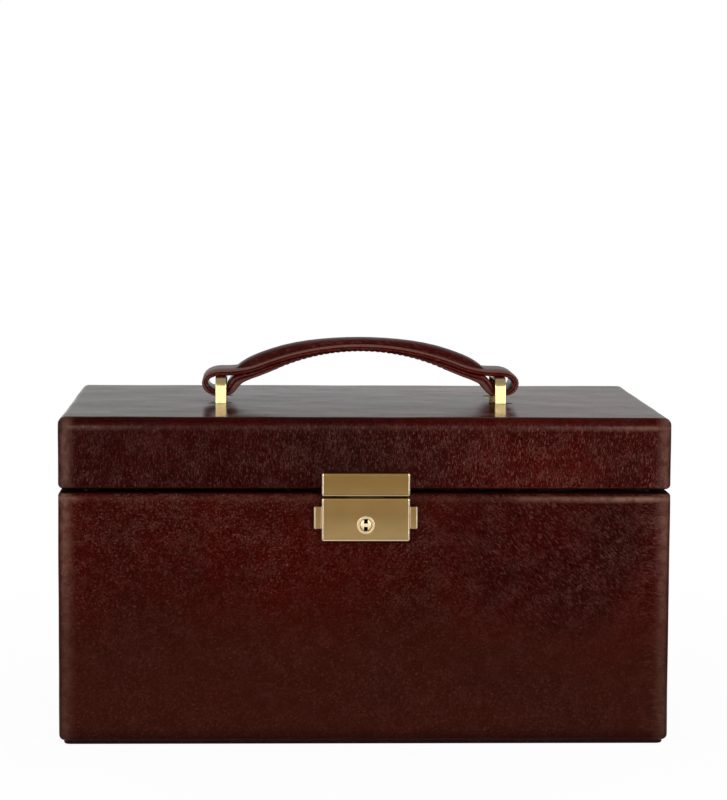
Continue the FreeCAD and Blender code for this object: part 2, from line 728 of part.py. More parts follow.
# Back plate of the lock, with the posts that the ear springs push on.
lock_back = new_body("lock_back_plate")
plate_x = "(LockWidth / 2 - LockWall)"
plate_face = f"(-({half_depth}) - LockWall)"
add_box(
    lock_back,
    (minus(plate_x), plate_face, f"{lock_low} + LockWall"),
    (plate_x, minus(half_depth), f"{lock_top} - LockWall"),
)
spring_z = f"({key_z})"
post_low, post_high = around(spring_z, "2 * CoilRadius + 2 * CoilWire")
post_front = f"-({lock_middle}) - CoilRadius"
for start, end in (
    ("-CoilPost - LockWall", "-CoilPost"),
    ("CoilPost", "CoilPost + LockWall"),
):
    add_box(lock_back, (start, post_front, post_low), (end, plate_face, post_high))
for side in screw_sides:
    cut_round(lock_back, "y", (side, plate_face, plate_screw_low), "LockWall", "PlateScrewRadius")

# Keyhole ring.
bezel = new_body("lock_bezel")
bezel_face = f"(-({lock_face}) - BezelRise)"
add_round(bezel, "y", ("0", bezel_face, key_z), "BezelRise", "BezelRadius")
round_edges(bezel, "BezelRise / 2", lambda edge: lies_at(edge, "y", value(bezel_face)))
add_round(bezel, "y", ("0", minus(lock_face), key_z), "LockWall", sleeve_radius)
cut_round(bezel, "y", ("0", bezel_face, key_z), "BezelRise + LockWall", "PlugRadius + TurnPlay")

# Key plug with two keyway notches and the cam on its tail.
plug = new_body("lock_plug")
plug_face = f"({bezel_face} + BezelRise / 2)"
cam_back = f"({plate_face} - FitPlay)"
cam_front = f"({cam_back} - CamThick)"
add_round(plug, "y", ("0", plug_face, key_z), f"{cam_front} - ({plug_face})", "PlugRadius")
round_edges(plug, "PlugEdge", lambda edge: lies_at(edge, "y", value(plug_face)))
add_round(plug, "y", ("0", cam_front, key_z), "CamThick", "TailRadius")
notch_left, notch_right = around("0", "KeywayWidth")
notch_back = f"{plug_face} + KeywayDepth"
cut_box(
    plug,
    (notch_left, plug_face, f"{key_z} + KeywayBar / 2"),
    (notch_right, notch_back, f"{key_z} + PlugRadius"),
)
cut_box(
    plug,
    (notch_left, plug_face, f"{key_z} - PlugRadius"),
    (notch_right, notch_back, f"{key_z} - KeywayBar / 2"),
)
cam = new_body("lock_cam")
cam_left, cam_right = around("0", "CamWidth")
add_box(cam, (cam_left, cam_front, f"{key_z} - CamLength"), (cam_right, cam_back, key_z))
add_round(cam, "y", ("0", cam_front, key_z), "CamThick", "TailRadius + LockWall")
cut_round(cam, "y", ("0", cam_front, key_z), "CamThick", "TailRadius")

# Push ears with their latch bars. Each is kept in by a flange behind the lock wall.
hook_tip = "(ForkOpening / 2 - FitPlay)"
hook_root = f"({hook_tip} - HookWidth)"
bar_low = f"({key_z} + PlugRadius + FitPlay)"
bar_high = f"({bar_low} + BarHeight)"
flange_outer = f"({plate_x} - SeatGap)"
flange_inner = f"({flange_outer} - StopFlange)"
flange_low = f"({ear_low} - StopFlange)"
flange_high = f"({ear_top} + StopFlange)"


def sided(side, near, far):
    """Low and high X of a span measured outwards from the middle, on either side."""
    return (near, far) if side > 0 else (minus(far), minus(near))


for name, side in (("left", -1), ("right", 1)):
    slider = new_body(f"ear_slider_{name}")
    start, end = sided(side, flange_inner, "LockWidth / 2 + EarReach")
    add_box(slider, (start, ear_front, ear_low), (end, ear_back, ear_top))
    tip = side * value("LockWidth / 2 + EarReach")
    round_edges(slider, "EarEdge", lambda edge: lies_at(edge, "x", tip))
    start, end = sided(side, flange_inner, flange_outer)
    add_box(slider, (start, ear_front, flange_low), (end, ear_back, flange_high))
    start, end = sided(side, hook_root, flange_inner)
    add_box(slider, (start, ear_front, bar_low), (end, ear_back, bar_high))
    start, end = sided(side, hook_root, hook_tip)
    add_box(slider, (start, ear_front, bar_low), (end, ear_back, f"{bar_low} + HookHeight"))

# Ear springs, one coil each between a flange and its post.
for name, side in (("left", -1), ("right", 1)):
    path = doc.addObject("Part::Helix", f"coil_path_{name}")
    bind(path, "Pitch", "CoilPitch")
    bind(path, "Radius", "CoilRadius")
    bind(path, "Height", f"{flange_inner} - CoilPost - LockWall - 2 * CoilWire")
    wire = doc.addObject("Part::Circle", f"coil_wire_{name}")
    bind(wire, "Radius", "CoilWire")
    bind(wire, "Placement.Base.x", "CoilRadius")
    wire.Placement.Rotation = FreeCAD.Rotation(FreeCAD.Vector(1, 0, 0), 90)
    spring = doc.addObject("Part::Sweep", f"ear_spring_{name}")
    spring.Sections = [wire]
    spring.Spine = (path, ["Edge1"])
    spring.Solid = True
    spring.Frenet = True
    outward = directions["x"] if side > 0 else FreeCAD.Rotation(FreeCAD.Vector(0, 1, 0), -90)
    spring.Placement = FreeCAD.Placement(FreeCAD.Vector(), outward)
    place(spring, (f"{side} * (CoilPost + LockWall + CoilWire)", minus(lock_middle), spring_z))
    node(spring, f"ear_spring_{name}")

# Hasp plate on the lid and the forked tongue that drops between the latch hooks.
hasp = new_body("hasp_plate")
hasp_top = f"({hasp_low} + HaspHeight)"
add_box(hasp, (lock_left, minus(lock_face), hasp_low), (lock_right, minus(half_depth), hasp_top))
round_edges(hasp, "LockCorner", lambda edge: runs_along(edge, "y"))
round_edges(hasp, "LockEdge", lambda edge: lies_at(edge, "y", -value(lock_face)))
cut_box(
    hasp,
    (lock_left, f"-({half_depth}) - HaspRelief", hasp_low),
    (lock_right, minus(half_depth), f"{lid_rim} + RimRadius"),
)
cut_box(hasp, (fork_left, fork_front, hasp_low), (fork_right, fork_back, f"{hasp_low} + ForkRoot"))
for side in screw_sides:
    start = f"-({half_depth}) - PlateScrewBite"
    cut_round(hasp, "y", (side, start, plate_screw_high), "PlateScrewBite", "PlateScrewRadius")

tongue = new_body("hasp_tongue")
fork_low = f"({hasp_low} - ForkReach)"
add_box(tongue, (fork_left, fork_front, fork_low), (fork_right, fork_back, f"{hasp_low} + ForkRoot"))
opening_left, opening_right = around("0", "ForkOpening")
cut_box(
    tongue,
    (opening_left, fork_front, fork_low),
    (opening_right, fork_back, f"{hasp_low} - LockWall"),
)
catch_left, catch_right = around("0", "ForkOpening + 2 * ForkNotch")
cut_box(
    tongue,
    (catch_left, fork_front, f"{fork_low} + StopFlange"),
    (catch_right, fork_back, f"{fork_low} + StopFlange + BarHeight"),
)


def plate_screws(label, level, length):
    """Two pan-head screws put in from the inside, towards the front."""
    master = half_profile(
        doc.addObject("PartDesign::Body", f"{label}_one"),
        f"{label}_outline",
        [
            ("0", "0"),
            ("PlateScrewHead", "0"),
            ("PlateScrewHead", "PlateScrewSeat"),
            ("PlateScrewRadius", "PlateScrewSeat"),
            ("PlateScrewRadius", length),
            ("0", length),
        ],
    )
    turn = FreeCAD.Rotation(FreeCAD.Vector(1, 0, 0), 90)
    return copies(label, master, [(side, minus(inner_y), level) for side in screw_sides], turn)


plate_screws("lock_screws", plate_screw_low, "BoardThick + LeatherThick + LockWall")
plate_screws("hasp_screws", plate_screw_high, "BoardThick + LeatherThick + PlateScrewBite")


# Drawing helpers for the staples and the handle, whose outlines are bent.
def spot(x, z):
    return FreeCAD.Vector(x, z, 0)


def trace(sketch, start, moves):
    """Draw lines and three-point arcs one after the other from a start point."""
    here = start
    for move in moves:
        if len(move) == 1:
            sketch.addGeometry(Part.LineSegment(here, move[0]))
        else:
            sketch.addGeometry(Part.Arc(here, move[0], move[1]))
        here = move[-1]


def mirrored(point):
    return spot(-point.x, point.y)


def side_sketch(body, label, width):
    """Upright sketch whose pad of a given width is centred on the handle plane."""
    plane = next(item for item in body.Origin.OriginFeatures if item.Role == "XZ_Plane")
    sketch = body.newObject("Sketcher::SketchObject", label)
    sketch.AttachmentSupport = (plane, [""])
    sketch.MapMode = "FlatFace"
    bind(sketch, "AttachmentOffset.Base.z", f"-({width}) / 2")
    bind(sketch, "AttachmentOffset.Base.y", lid_top)
    return sketch


def side_pad(body, sketch, width):
    pad = body.newObject("PartDesign::Pad", f"{body.Label}_pad")
    pad.Profile = sketch
    bind(pad, "Length", width)
    doc.recompute()
    return pad


def end_pad(body, start, width, points):
    """Pad along x, of a closed outline that is drawn as seen from the end of the case."""
    plane = next(item for item in body.Origin.OriginFeatures if item.Role == "YZ_Plane")
    sketch = body.newObject("Sketcher::SketchObject", f"{body.Label}_outline")
    sketch.AttachmentSupport = (plane, [""])
    sketch.MapMode = "FlatFace"
    bind(sketch, "AttachmentOffset.Base.z", start)
    trace(sketch, points[0], [(point,) for point in points[1:] + points[:1]])
    return side_pad(body, sketch, width)


# Handle staples: bent strips whose legs go through the lid top and are peened on back plates.
staple_top = f"({lid_top} + StapleHeight)"
bar_bottom = f"({staple_top} - StapleThick)"
staple_y = value("StapleReach / 2 + StapleThick / 2")
staple_inside_y = value("StapleReach / 2 - StapleThick / 2")
staple_outside = [
    spot(staple_y, value(leg_low)),
    spot(staple_y, value(lid_top)),
    spot(staple_y - value("StapleLean"), value(staple_top)),
]
staple_inside = [
    spot(staple_inside_y - value("StapleLean"), value(bar_bottom)),
    spot(staple_inside_y, value(lid_top)),
    spot(staple_inside_y, value(leg_low)),
]
staple_outline = (
    staple_outside
    + [mirrored(point) for point in reversed(staple_outside)]
    + [mirrored(point) for point in reversed(staple_inside)]
    + staple_inside
)
for name, middle in staple_middles:
    staple = new_body(f"staple_{name}")
    left, right = around(middle, "StapleWidth")
    end_pad(staple, left, "StapleWidth", staple_outline)
    for radius, level in (("StapleBend", staple_top), ("StapleBend - StapleThick", bar_bottom)):
        round_edges(
            staple,
            radius,
            lambda edge: runs_along(edge, "x") and lies_at(edge, "z", value(level)),
        )
    sides = (value(left), value(right))
    round_edges(
        staple,
        "StapleEdge",
        lambda edge: edge.BoundBox.ZMax > value(lid_top)
        and any(lies_at(edge, "x", level) for level in sides),
    )

plates = []
for name, middle in staple_middles:
    left, right = around(middle, "StapleWidth + 2 * BackPlateMargin")
    plate_low = f"({ceiling} - BackPlateThick)"
    plate = plain_box("back_plate", (left, minus(back_plate_y), plate_low), (right, back_plate_y, ceiling))
    for leg in leg_middles:
        hole_left, hole_right = around(middle, "StapleWidth")
        hole_front, hole_back = around(leg, "StapleThick")
        hole = plain_box("leg_hole", (hole_left, hole_front, plate_low), (hole_right, hole_back, ceiling))
        drilled = doc.addObject("Part::Cut", "drilled_plate")
        drilled.Base = plate
        drilled.Tool = hole
        plate = drilled
    plates.append(plate)
group("staple_plates", plates)

# Handle: the strap is drawn from the side, as one outline with an eye at each end.
post_x = value("HandleSpan / 2")
thick = value("StrapThick")
eye_radius = value("EyeRadius")
eye_outer = eye_radius + thick
eye = spot(post_x + value("EyeShift"), value("StapleHeight + FitPlay") - eye_radius)
strap_top = eye.y + eye_outer
grip_low = value("GripRise")
grip_top = grip_low + value("GripThick")
post_side = value("StapleWidth / 2")

# The crown arc of the strap turns into a reverse arc that runs level over the staple.
crown_x = 0.716 * post_x
crown_drop = 0.74 * (grip_top - strap_top)
crown_end = spot(crown_x, grip_top - crown_drop)
crown_radius = (crown_x**2 + crown_drop**2) / (2 * crown_drop)
bend = math.asin(crown_x / crown_radius)
reverse_drop = crown_end.y - strap_top
reverse_radius = reverse_drop / (1 - math.cos(bend))
level_start = spot(crown_x + reverse_radius * math.sin(bend), strap_top)
eye_top = spot(max(eye.x, level_start.x + thick / 4), strap_top)


def on_reverse(x):
    along = level_start.x - x
    return spot(x, strap_top + reverse_radius - math.sqrt(reverse_radius**2 - along**2))


# The lower layer leaves the eye, climbs steeply and lies against the strap from there on.
return_low = spot(post_x - post_side - 0.55 * thick, eye.y - eye_outer)
return_bend = spot(return_low.x - 0.64 * thick, return_low.y + 0.21 * thick)
return_foot = spot(return_low.x - 1.07 * thick, return_low.y + 0.75 * thick)
return_rise = strap_top - 2.35 * thick - return_foot.y
return_head = spot(return_foot.x - 0.62 * return_rise, return_foot.y + return_rise)
lap_bend = spot(return_head.x - 0.5 * thick, return_head.y + 0.39 * thick)
lap_start = spot(return_head.x - 1.18 * thick, return_head.y + 0.5 * thick)
lap_end = spot(0.657 * post_x, grip_low - crown_drop * 1.13)
strap = new_body("handle_strap")
strap_sketch = side_sketch(strap, "strap_outline", "StrapWidth")
right_edge = [
    (on_reverse((crown_end.x + level_start.x) / 2), level_start),
    (eye_top,),
    (spot(eye.x + eye_outer, eye.y), spot(eye.x, eye.y - eye_outer)),
    (return_low,),
    (return_bend, return_foot),
    (return_head,),
    (lap_bend, lap_start),
    (lap_end,),
]
left_edge = []
corner = right_edge[-1][-1]
for index in range(len(right_edge) - 1, -1, -1):
    goal = right_edge[index - 1][-1] if index else crown_end
    middle_points = right_edge[index][:-1]
    left_edge.append(tuple(mirrored(point) for point in middle_points) + (mirrored(goal),))
trace(
    strap_sketch,
    crown_end,
    right_edge
    + [(spot(0, grip_low), mirrored(corner))]
    + left_edge
    + [(spot(0, grip_top), crown_end)],
)
# Inside of each eye: round at its outer end, with a slanted inner side along the lower layer.
slant = FreeCAD.Vector(return_head.x - return_foot.x, return_head.y - return_foot.y, 0).normalize()
return_thick = 1.6 * thick
offset = spot(slant.y * return_thick, -slant.x * return_thick)
hole_top = eye.y + eye_radius
hole_low = eye.y - eye_radius
slant_foot = return_foot + offset
slant_low = slant_foot + slant * ((hole_low + 0.25 * thick - slant_foot.y) / slant.y)
slant_high = slant_foot + slant * ((hole_top - 0.3 * thick - slant_foot.y) / slant.y)
for flip in (lambda point: point, mirrored):
    start = flip(spot(eye.x, hole_top))
    trace(
        strap_sketch,
        start,
        [
            (flip(spot(eye.x + eye_radius, eye.y)), flip(spot(eye.x, hole_low))),
            (flip(spot(slant_low.x + 0.3 * thick, hole_low)),),
            (flip(slant_low),),
            (flip(slant_high),),
            (flip(spot(slant_high.x + 0.15 * thick, hole_top)),),
            (start,),
        ],
    )
side_pad(strap, strap_sketch, "StrapWidth")

# Padded core on the strap: it follows the strap below and swells to a blunt nose at each end.
core = new_body("handle_core")
core_x = min(value("CoreSpan / 2"), 0.97 * level_start.x)
core_top = grip_top + value("CoreRise")
core_foot = on_reverse(core_x)
shoulder_x = 0.95 * core_x
shoulder = spot(shoulder_x, on_reverse(shoulder_x).y + 2 * value("CoreRise"))
core_sketch = side_sketch(core, "core_outline", "CoreWidth")
trace(
    core_sketch,
    core_foot,
    [
        (shoulder,),
        (spot(0, core_top), mirrored(shoulder)),
        (mirrored(core_foot),),
        (mirrored(on_reverse((core_x + crown_end.x) / 2)), mirrored(crown_end)),
        (spot(0, grip_top), crown_end),
        (on_reverse((core_x + crown_end.x) / 2), core_foot),
    ],
)
side_pad(core, core_sketch, "CoreWidth")


def above_strap(edge):
    """Whether the middle of an edge stands clear of the top of the strap."""
    middle_point = edge.valueAt((edge.FirstParameter + edge.LastParameter) / 2)
    x = abs(middle_point.x)
    if x > crown_end.x:
        strap_level = on_reverse(x).y
    else:
        strap_level = grip_top - crown_radius + math.sqrt(crown_radius**2 - x**2)
    return middle_point.z - value(lid_top) > strap_level + 0.2 * value("CoreRise")


round_edges(core, "CoreEdge", above_strap)

# Lift-out tray.
tray_floor = plain_box(
    "tray_floor", (minus(tray_x), minus(tray_y), tray_low), (tray_x, tray_y, tray_deck)
)
node(tray_floor, "tray_floor")
tray_inner_x = f"({tray_x} - TrayBoard)"
tray_inner_y = f"({tray_y} - TrayBoard)"
tray_walls = [
    ("tray_front_wall", (minus(tray_x), minus(tray_y)), (tray_x, minus(tray_inner_y))),
    ("tray_back_wall", (minus(tray_x), tray_inner_y), (tray_x, tray_y)),
    ("tray_left_wall", (minus(tray_x), minus(tray_inner_y)), (minus(tray_inner_x), tray_inner_y)),
    ("tray_right_wall", (tray_inner_x, minus(tray_inner_y)), (tray_x, tray_inner_y)),
]
for label, low, high in tray_walls:
    node(plain_box(label, low + (tray_deck,), high + (tray_top,)), label)

divider_top = f"({tray_top} - DividerDrop)"
zone_end = f"(-({tray_inner_x}) + RingZone)"
zone_start = f"({zone_end} + DividerThick)"
main_divider = plain_box(
    "tray_main_divider",
    (zone_end, minus(tray_inner_y), tray_deck),
    (zone_start, tray_inner_y, divider_top),
)
node(main_divider, "tray_main_divider")
row_front = f"(-({tray_inner_y}) + RowDepth)"
row_back = f"({row_front} + DividerThick)"
row_divider = plain_box(
    "tray_row_divider", (zone_start, row_front, tray_deck), (tray_inner_x, row_back, divider_top)
)
node(row_divider, "tray_row_divider")
row_length = f"({tray_inner_x} - {zone_start})"
short_dividers = []
for part_of_row, front, back in (
    ("1 / 3", minus(tray_inner_y), row_front),
    ("2 / 3", minus(tray_inner_y), row_front),
    ("1 / 2", row_back, tray_inner_y),
):
    left, right = around(f"{zone_start} + {row_length} * {part_of_row}", "DividerThick")
    short_dividers.append(
        plain_box("short_divider", (left, front, tray_deck), (right, back, divider_top))
    )
group("tray_short_dividers", short_dividers)

# Ring rolls: rounded bars side by side, with a slit between neighbours for the rings.
roll_count = 8
roll_pitch = f"(2 * {tray_inner_y} / {roll_count})"
roll_width = f"({roll_pitch} - RollGap)"
roll = doc.addObject("PartDesign::Body", "ring_roll")
roll.Label = "ring_roll"
add_box(roll, ("0", "0", "0"), ("RingZone - 2 * RollGap", roll_width, "RollHeight"))
round_edges(
    roll,
    f"{roll_width} * 0.42",
    lambda edge: runs_along(edge, "x") and lies_at(edge, "z", value("RollHeight")),
)
roll_start = f"-({tray_inner_x}) + RollGap"
copies(
    "ring_rolls",
    roll,
    [
        (roll_start, f"-({tray_inner_y}) + RollGap / 2 + {roll_pitch} * {i}", tray_deck)
        for i in range(roll_count)
    ],
)

pull_left, pull_right = around("0", "PullWidth")
pull_low = f"{tray_top} + PullRise - PullLength"
pull_top = f"{tray_top} + PullRise"
front_pull = plain_box(
    "front_pull",
    (pull_left, minus(tray_inner_y), pull_low),
    (pull_right, f"-({tray_inner_y}) + PullThick", pull_top),
)
back_pull = plain_box(
    "back_pull",
    (pull_left, f"{tray_inner_y} - PullThick", pull_low),
    (pull_right, tray_inner_y, pull_top),
)
group("pull_tabs", [front_pull, back_pull])

doc.recompute()
for item in doc.Objects:
    if "Invalid" in item.State or "Error" in item.State:
        raise RuntimeError(f"{item.Label} did not build")
os.makedirs("parts", exist_ok=True)
for item in nodes:
    if item.Shape.isNull() or not item.Shape.isValid():
        raise RuntimeError(f"{item.Label} has no valid shape")
    item.Shape.exportStep(f"parts/{item.Label}.step")
print(len(nodes), "sub-parts written")
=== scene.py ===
import json
import math

import bpy
from mathutils import Matrix, Vector


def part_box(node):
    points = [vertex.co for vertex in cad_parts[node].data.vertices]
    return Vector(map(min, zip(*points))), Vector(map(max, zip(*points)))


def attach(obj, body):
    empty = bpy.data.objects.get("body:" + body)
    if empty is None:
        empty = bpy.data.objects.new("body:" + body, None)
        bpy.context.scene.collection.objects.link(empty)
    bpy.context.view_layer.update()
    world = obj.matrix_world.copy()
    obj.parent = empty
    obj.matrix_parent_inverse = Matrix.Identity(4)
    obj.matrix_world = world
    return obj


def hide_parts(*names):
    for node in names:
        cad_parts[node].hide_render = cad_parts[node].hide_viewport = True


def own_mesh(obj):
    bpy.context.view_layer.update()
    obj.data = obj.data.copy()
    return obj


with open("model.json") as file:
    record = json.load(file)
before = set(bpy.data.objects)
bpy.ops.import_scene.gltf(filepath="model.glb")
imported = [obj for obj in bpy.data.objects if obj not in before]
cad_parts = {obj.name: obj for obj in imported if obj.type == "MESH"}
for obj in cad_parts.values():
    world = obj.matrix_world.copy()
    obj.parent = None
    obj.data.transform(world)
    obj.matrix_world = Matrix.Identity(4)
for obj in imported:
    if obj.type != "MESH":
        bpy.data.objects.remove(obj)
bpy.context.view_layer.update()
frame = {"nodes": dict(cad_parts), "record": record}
mm = 0.001
print("frame loaded,", len(frame["nodes"]), "nodes")


# hand tools

def letGo():
    if bpy.context.object and bpy.context.object.mode != "OBJECT":
        bpy.ops.object.mode_set(mode="OBJECT")
    bpy.ops.object.select_all(action="DESELECT")


def hold(piece):
    letGo()
    piece.select_set(True)
    bpy.context.view_layer.objects.active = piece


def settle(piece):
    hold(piece)
    bpy.ops.object.transform_apply(location=True, rotation=True, scale=True)


def startBox(name, low, high):
    letGo()
    low, high = Vector(low), Vector(high)
    bpy.ops.mesh.primitive_cube_add(size=1, location=(low + high) / 2)
    piece = bpy.context.object
    piece.name = piece.data.name = name
    piece.scale = high - low
    settle(piece)
    return piece


def startPanel(name, width, height, spot):  # upright panel that faces +X
    letGo()
    bpy.ops.mesh.primitive_plane_add(size=1, location=spot, rotation=(0, math.pi / 2, 0))
    piece = bpy.context.object
    piece.name = piece.data.name = name
    piece.scale = (height, width, 1)
    settle(piece)
    return piece


def pickNone(piece, kind):
    hold(piece)
    bpy.ops.object.mode_set(mode="EDIT")
    bpy.ops.mesh.select_mode(type=kind)
    bpy.ops.mesh.select_all(action="DESELECT")
    bpy.ops.object.mode_set(mode="OBJECT")


def pickFaces(piece, test):
    pickNone(piece, "FACE")
    for face in piece.data.polygons:
        face.select = bool(test(face.center, face.normal))
    bpy.ops.object.mode_set(mode="EDIT")


def pickEdges(piece, test):
    pickNone(piece, "EDGE")
    points = piece.data.vertices
    for edge in piece.data.edges:
        a, b = (points[i].co for i in edge.vertices)
        edge.select = bool(test(a, b))
    bpy.ops.object.mode_set(mode="EDIT")


def pickAll(piece):
    hold(piece)
    bpy.ops.object.mode_set(mode="EDIT")
    bpy.ops.mesh.select_mode(type="VERT")
    bpy.ops.mesh.select_all(action="SELECT")


def upright(a, b):
    return abs(a.z - b.z) > 1 * mm


def facesUp(centre, normal):
    return normal.z > 0.9


def facesDown(centre, normal):
    return normal.z < -0.9


def everyFace(centre, normal):
    return True


def roundOff(size, steps):
    bpy.ops.mesh.bevel(offset=size, segments=steps, profile=0.5, affect="EDGES")


def pushOut(x=0.0, y=0.0, z=0.0):
    bpy.ops.mesh.extrude_region_move(TRANSFORM_OT_translate={"value": (x, y, z)})


def gridLines(piece, low, high, step, axes=(0, 1, 2)):  # even cuts across the piece
    pickAll(piece)
    for axis in axes:
        span = high[axis] - low[axis]
        count = max(1, round(span / step))
        way = Vector((axis == 0, axis == 1, axis == 2))
        for i in range(1, count):
            bpy.ops.mesh.select_all(action="SELECT")
            bpy.ops.mesh.bisect(plane_co=way * (low[axis] + span * i / count), plane_no=way)
    bpy.ops.object.mode_set(mode="OBJECT")


def apply(piece, tool):
    hold(piece)
    bpy.ops.object.modifier_apply(modifier=tool.name)


def useTool(piece, kind, **settings):
    tool = piece.modifiers.new(kind, kind)
    for label, value in settings.items():
        setattr(tool, label, value)
    apply(piece, tool)


def uneven(piece, reach, lift, middle=0.5):
    cloud = bpy.data.textures.new(piece.name + "Cloud", "CLOUDS")
    cloud.noise_scale = reach
    cloud.noise_depth = 1
    useTool(piece, "DISPLACE", texture=cloud, texture_coords="LOCAL", strength=lift, mid_level=middle)


def giveThickness(piece, skin):
    useTool(piece, "SOLIDIFY", thickness=skin, offset=-1, use_even_offset=True)


def facesOut(piece):
    pickAll(piece)
    bpy.ops.mesh.remove_doubles(threshold=0.000002)
    bpy.ops.mesh.normals_make_consistent(inside=False)
    bpy.ops.object.mode_set(mode="OBJECT")


def joinAll(name, pieces):
    letGo()
    for piece in pieces:
        piece.select_set(True)
    bpy.context.view_layer.objects.active = pieces[0]
    bpy.ops.object.join()
    joined = bpy.context.object
    joined.name = joined.data.name = name
    return joined


def copyOf(piece, name):
    twin = piece.copy()
    twin.data = piece.data.copy()
    twin.name = twin.data.name = name
    bpy.context.scene.collection.objects.link(twin)
    return twin


def copyNode(node, name):  # a CAD node as a loose piece with closed seams, left open for editing
    piece = copyOf(frame["nodes"][node], name)
    piece.parent = None
    piece.matrix_world = Matrix()
    pickAll(piece)
    bpy.ops.mesh.remove_doubles(threshold=0.00001)
    return piece


def dress(piece, look, body, slot, *nodes, angle=50):
    hold(piece)
    bpy.ops.object.shade_smooth_by_angle(angle=math.radians(angle))
    piece.data.materials.clear()
    piece.data.materials.append(look)
    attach(piece, body)
    if nodes:
        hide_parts(*nodes)


# finishes

def treeOf(*amounts):
    return next(a.id_data for a in amounts if isinstance(a, bpy.types.NodeSocket))


def feed(socket, amount):  # a number, a vector, a colour or what another node gives
    if isinstance(amount, bpy.types.NodeSocket):
        socket.id_data.links.new(amount, socket)
    elif socket.type == "RGBA":
        socket.default_value = (*amount, 1.0)
    else:
        socket.default_value = amount


def addNode(tree, kind, inputs={}, **settings):
    node = tree.nodes.new("ShaderNode" + kind)
    for label, value in settings.items():
        setattr(node, label, value)
    for label, amount in inputs.items():
        feed(node.inputs[label], amount)
    return node


def bareTree(owner, end):
    owner.use_nodes = True
    owner.node_tree.nodes.clear()
    return owner.node_tree, addNode(owner.node_tree, end).inputs["Surface"]


def newLook(name):
    look = bpy.data.materials.new(name)
    tree, surface = bareTree(look, "OutputMaterial")
    shell = addNode(tree, "BsdfPrincipled")
    feed(surface, shell.outputs["BSDF"])
    return look, shell, addNode(tree, "TexCoord").outputs["Object"]


def newGroup(name, inputs, outputs):
    tree = bpy.data.node_groups.new(name, "ShaderNodeTree")
    for label, kind, *start in inputs:
        socket = tree.interface.new_socket(label, in_out="INPUT", socket_type="NodeSocket" + kind)
        if start:
            socket.default_value = start[0]
    for label, kind in outputs:
        tree.interface.new_socket(label, in_out="OUTPUT", socket_type="NodeSocket" + kind)
    return tree, tree.nodes.new("NodeGroupInput").outputs, tree.nodes.new("NodeGroupOutput").inputs


def noise(where, scale, detail=3.0, rough=0.55, bend=0.0):
    return addNode(where.id_data, "TexNoise", {
        "Vector": where, "Scale": scale, "Detail": detail, "Roughness": rough, "Distortion": bend}).outputs["Fac"]


def stretch(where, scale=(1, 1, 1), turn=(0, 0, 0), move=(0, 0, 0)):
    turned = addNode(where.id_data, "Mapping", {
        "Vector": where, "Rotation": [math.radians(t) for t in turn], "Location": move})
    sized = addNode(where.id_data, "Mapping", {"Vector": turned.outputs["Vector"], "Scale": scale})
    return sized.outputs["Vector"]


def between(amount, low, high, toLow=0.0, toHigh=1.0):
    ends = {"Value": amount, "From Min": low, "From Max": high, "To Min": toLow, "To Max": toHigh}
    return addNode(amount.id_data, "MapRange", ends, interpolation_type="SMOOTHSTEP").outputs["Result"]


def sums(way, first, second=0.0):
    return addNode(treeOf(first, second), "Math", {0: first, 1: second}, operation=way).outputs["Value"]


def times(first, second):
    return sums("MULTIPLY", first, second)


def larger(first, second):
    return sums("MAXIMUM", first, second)


def minus(first, second):
    return sums("SUBTRACT", first, second)


def blendColour(share, first, second, way="MIX"):
    node = addNode(treeOf(share, first, second), "Mix", data_type="RGBA", blend_type=way)
    for label, amount in (("Factor", share), ("A", first), ("B", second)):
        feed([s for s in node.inputs if s.name == label and s.enabled][0], amount)
    return [s for s in node.outputs if s.enabled][0]


def shaded(colour, amount):
    return blendColour(1.0, colour, amount, "MULTIPLY")


def coat(shell, colour, rough, metallic=0.0):
    for label, amount in (("Base Color", colour), ("Roughness", rough), ("Metallic", metallic)):
        feed(shell.inputs[label], amount)


def bump(shell, height, strength, depth):
    node = addNode(height.id_data, "Bump", {"Height": height, "Strength": strength, "Distance": depth})
    feed(shell.inputs["Normal"], node.outputs["Normal"])


def axisOf(where, axis):
    return addNode(where.id_data, "SeparateXYZ", {"Vector": where}).outputs[axis]


def sizeOf(where, axis):  # distance from the middle of the case
    return sums("ABSOLUTE", axisOf(where, axis))


def nearSpot(where, spot, reach):  # 1 at the spot, fading out to nothing
    away = addNode(where.id_data, "VectorMath", {0: where, 1: spot}, operation="DISTANCE")
    return between(away.outputs["Value"], reach * 0.45, reach, 1.0, 0.0)


toneSpec = {"middle": (0.031, 0.001, 0.0002), "deep": (0.0215, 0.002, 0.0009), "red": (0.039, 0.0006, 0.0001),
            "cloud": 15.0, "redCloud": 13.0, "redMove": (3.1, 7.7, 1.9), "speck": 420.0,
            "deepRange": (0.46, 0.68, 0.0, 0.85), "redRange": (0.48, 0.68, 0.0, 0.9),
            "speckRange": (0.25, 0.75, 0.82, 1.18)}


def hideToneGroup(spec):  # hand-dyed clouds, dark and red
    tree, given, out = newGroup(
        "hideTone",
        [("Vector", "Vector"), ("Cloud", "Float", spec["cloud"]), ("Middle", "Color", spec["middle"] + (1,)),
         ("Deep", "Color", spec["deep"] + (1,)), ("Red", "Color", spec["red"] + (1,))],
        [("Color", "Color"), ("Cloud", "Float")])
    where = given["Vector"]
    big = noise(where, given["Cloud"], 4.0, 0.6, 0.4)
    other = noise(stretch(where, move=spec["redMove"]), spec["redCloud"], 4.0, 0.6, 0.5)
    marks = noise(where, spec["speck"], 3.0, 0.6)
    deep = between(big, *spec["deepRange"])
    red = between(other, *spec["redRange"])
    tone = blendColour(red, given["Middle"], given["Red"])
    tone = blendColour(deep, tone, given["Deep"])
    tone = shaded(tone, between(marks, *spec["speckRange"]))
    feed(out["Color"], tone)
    feed(out["Cloud"], deep)
    return tree


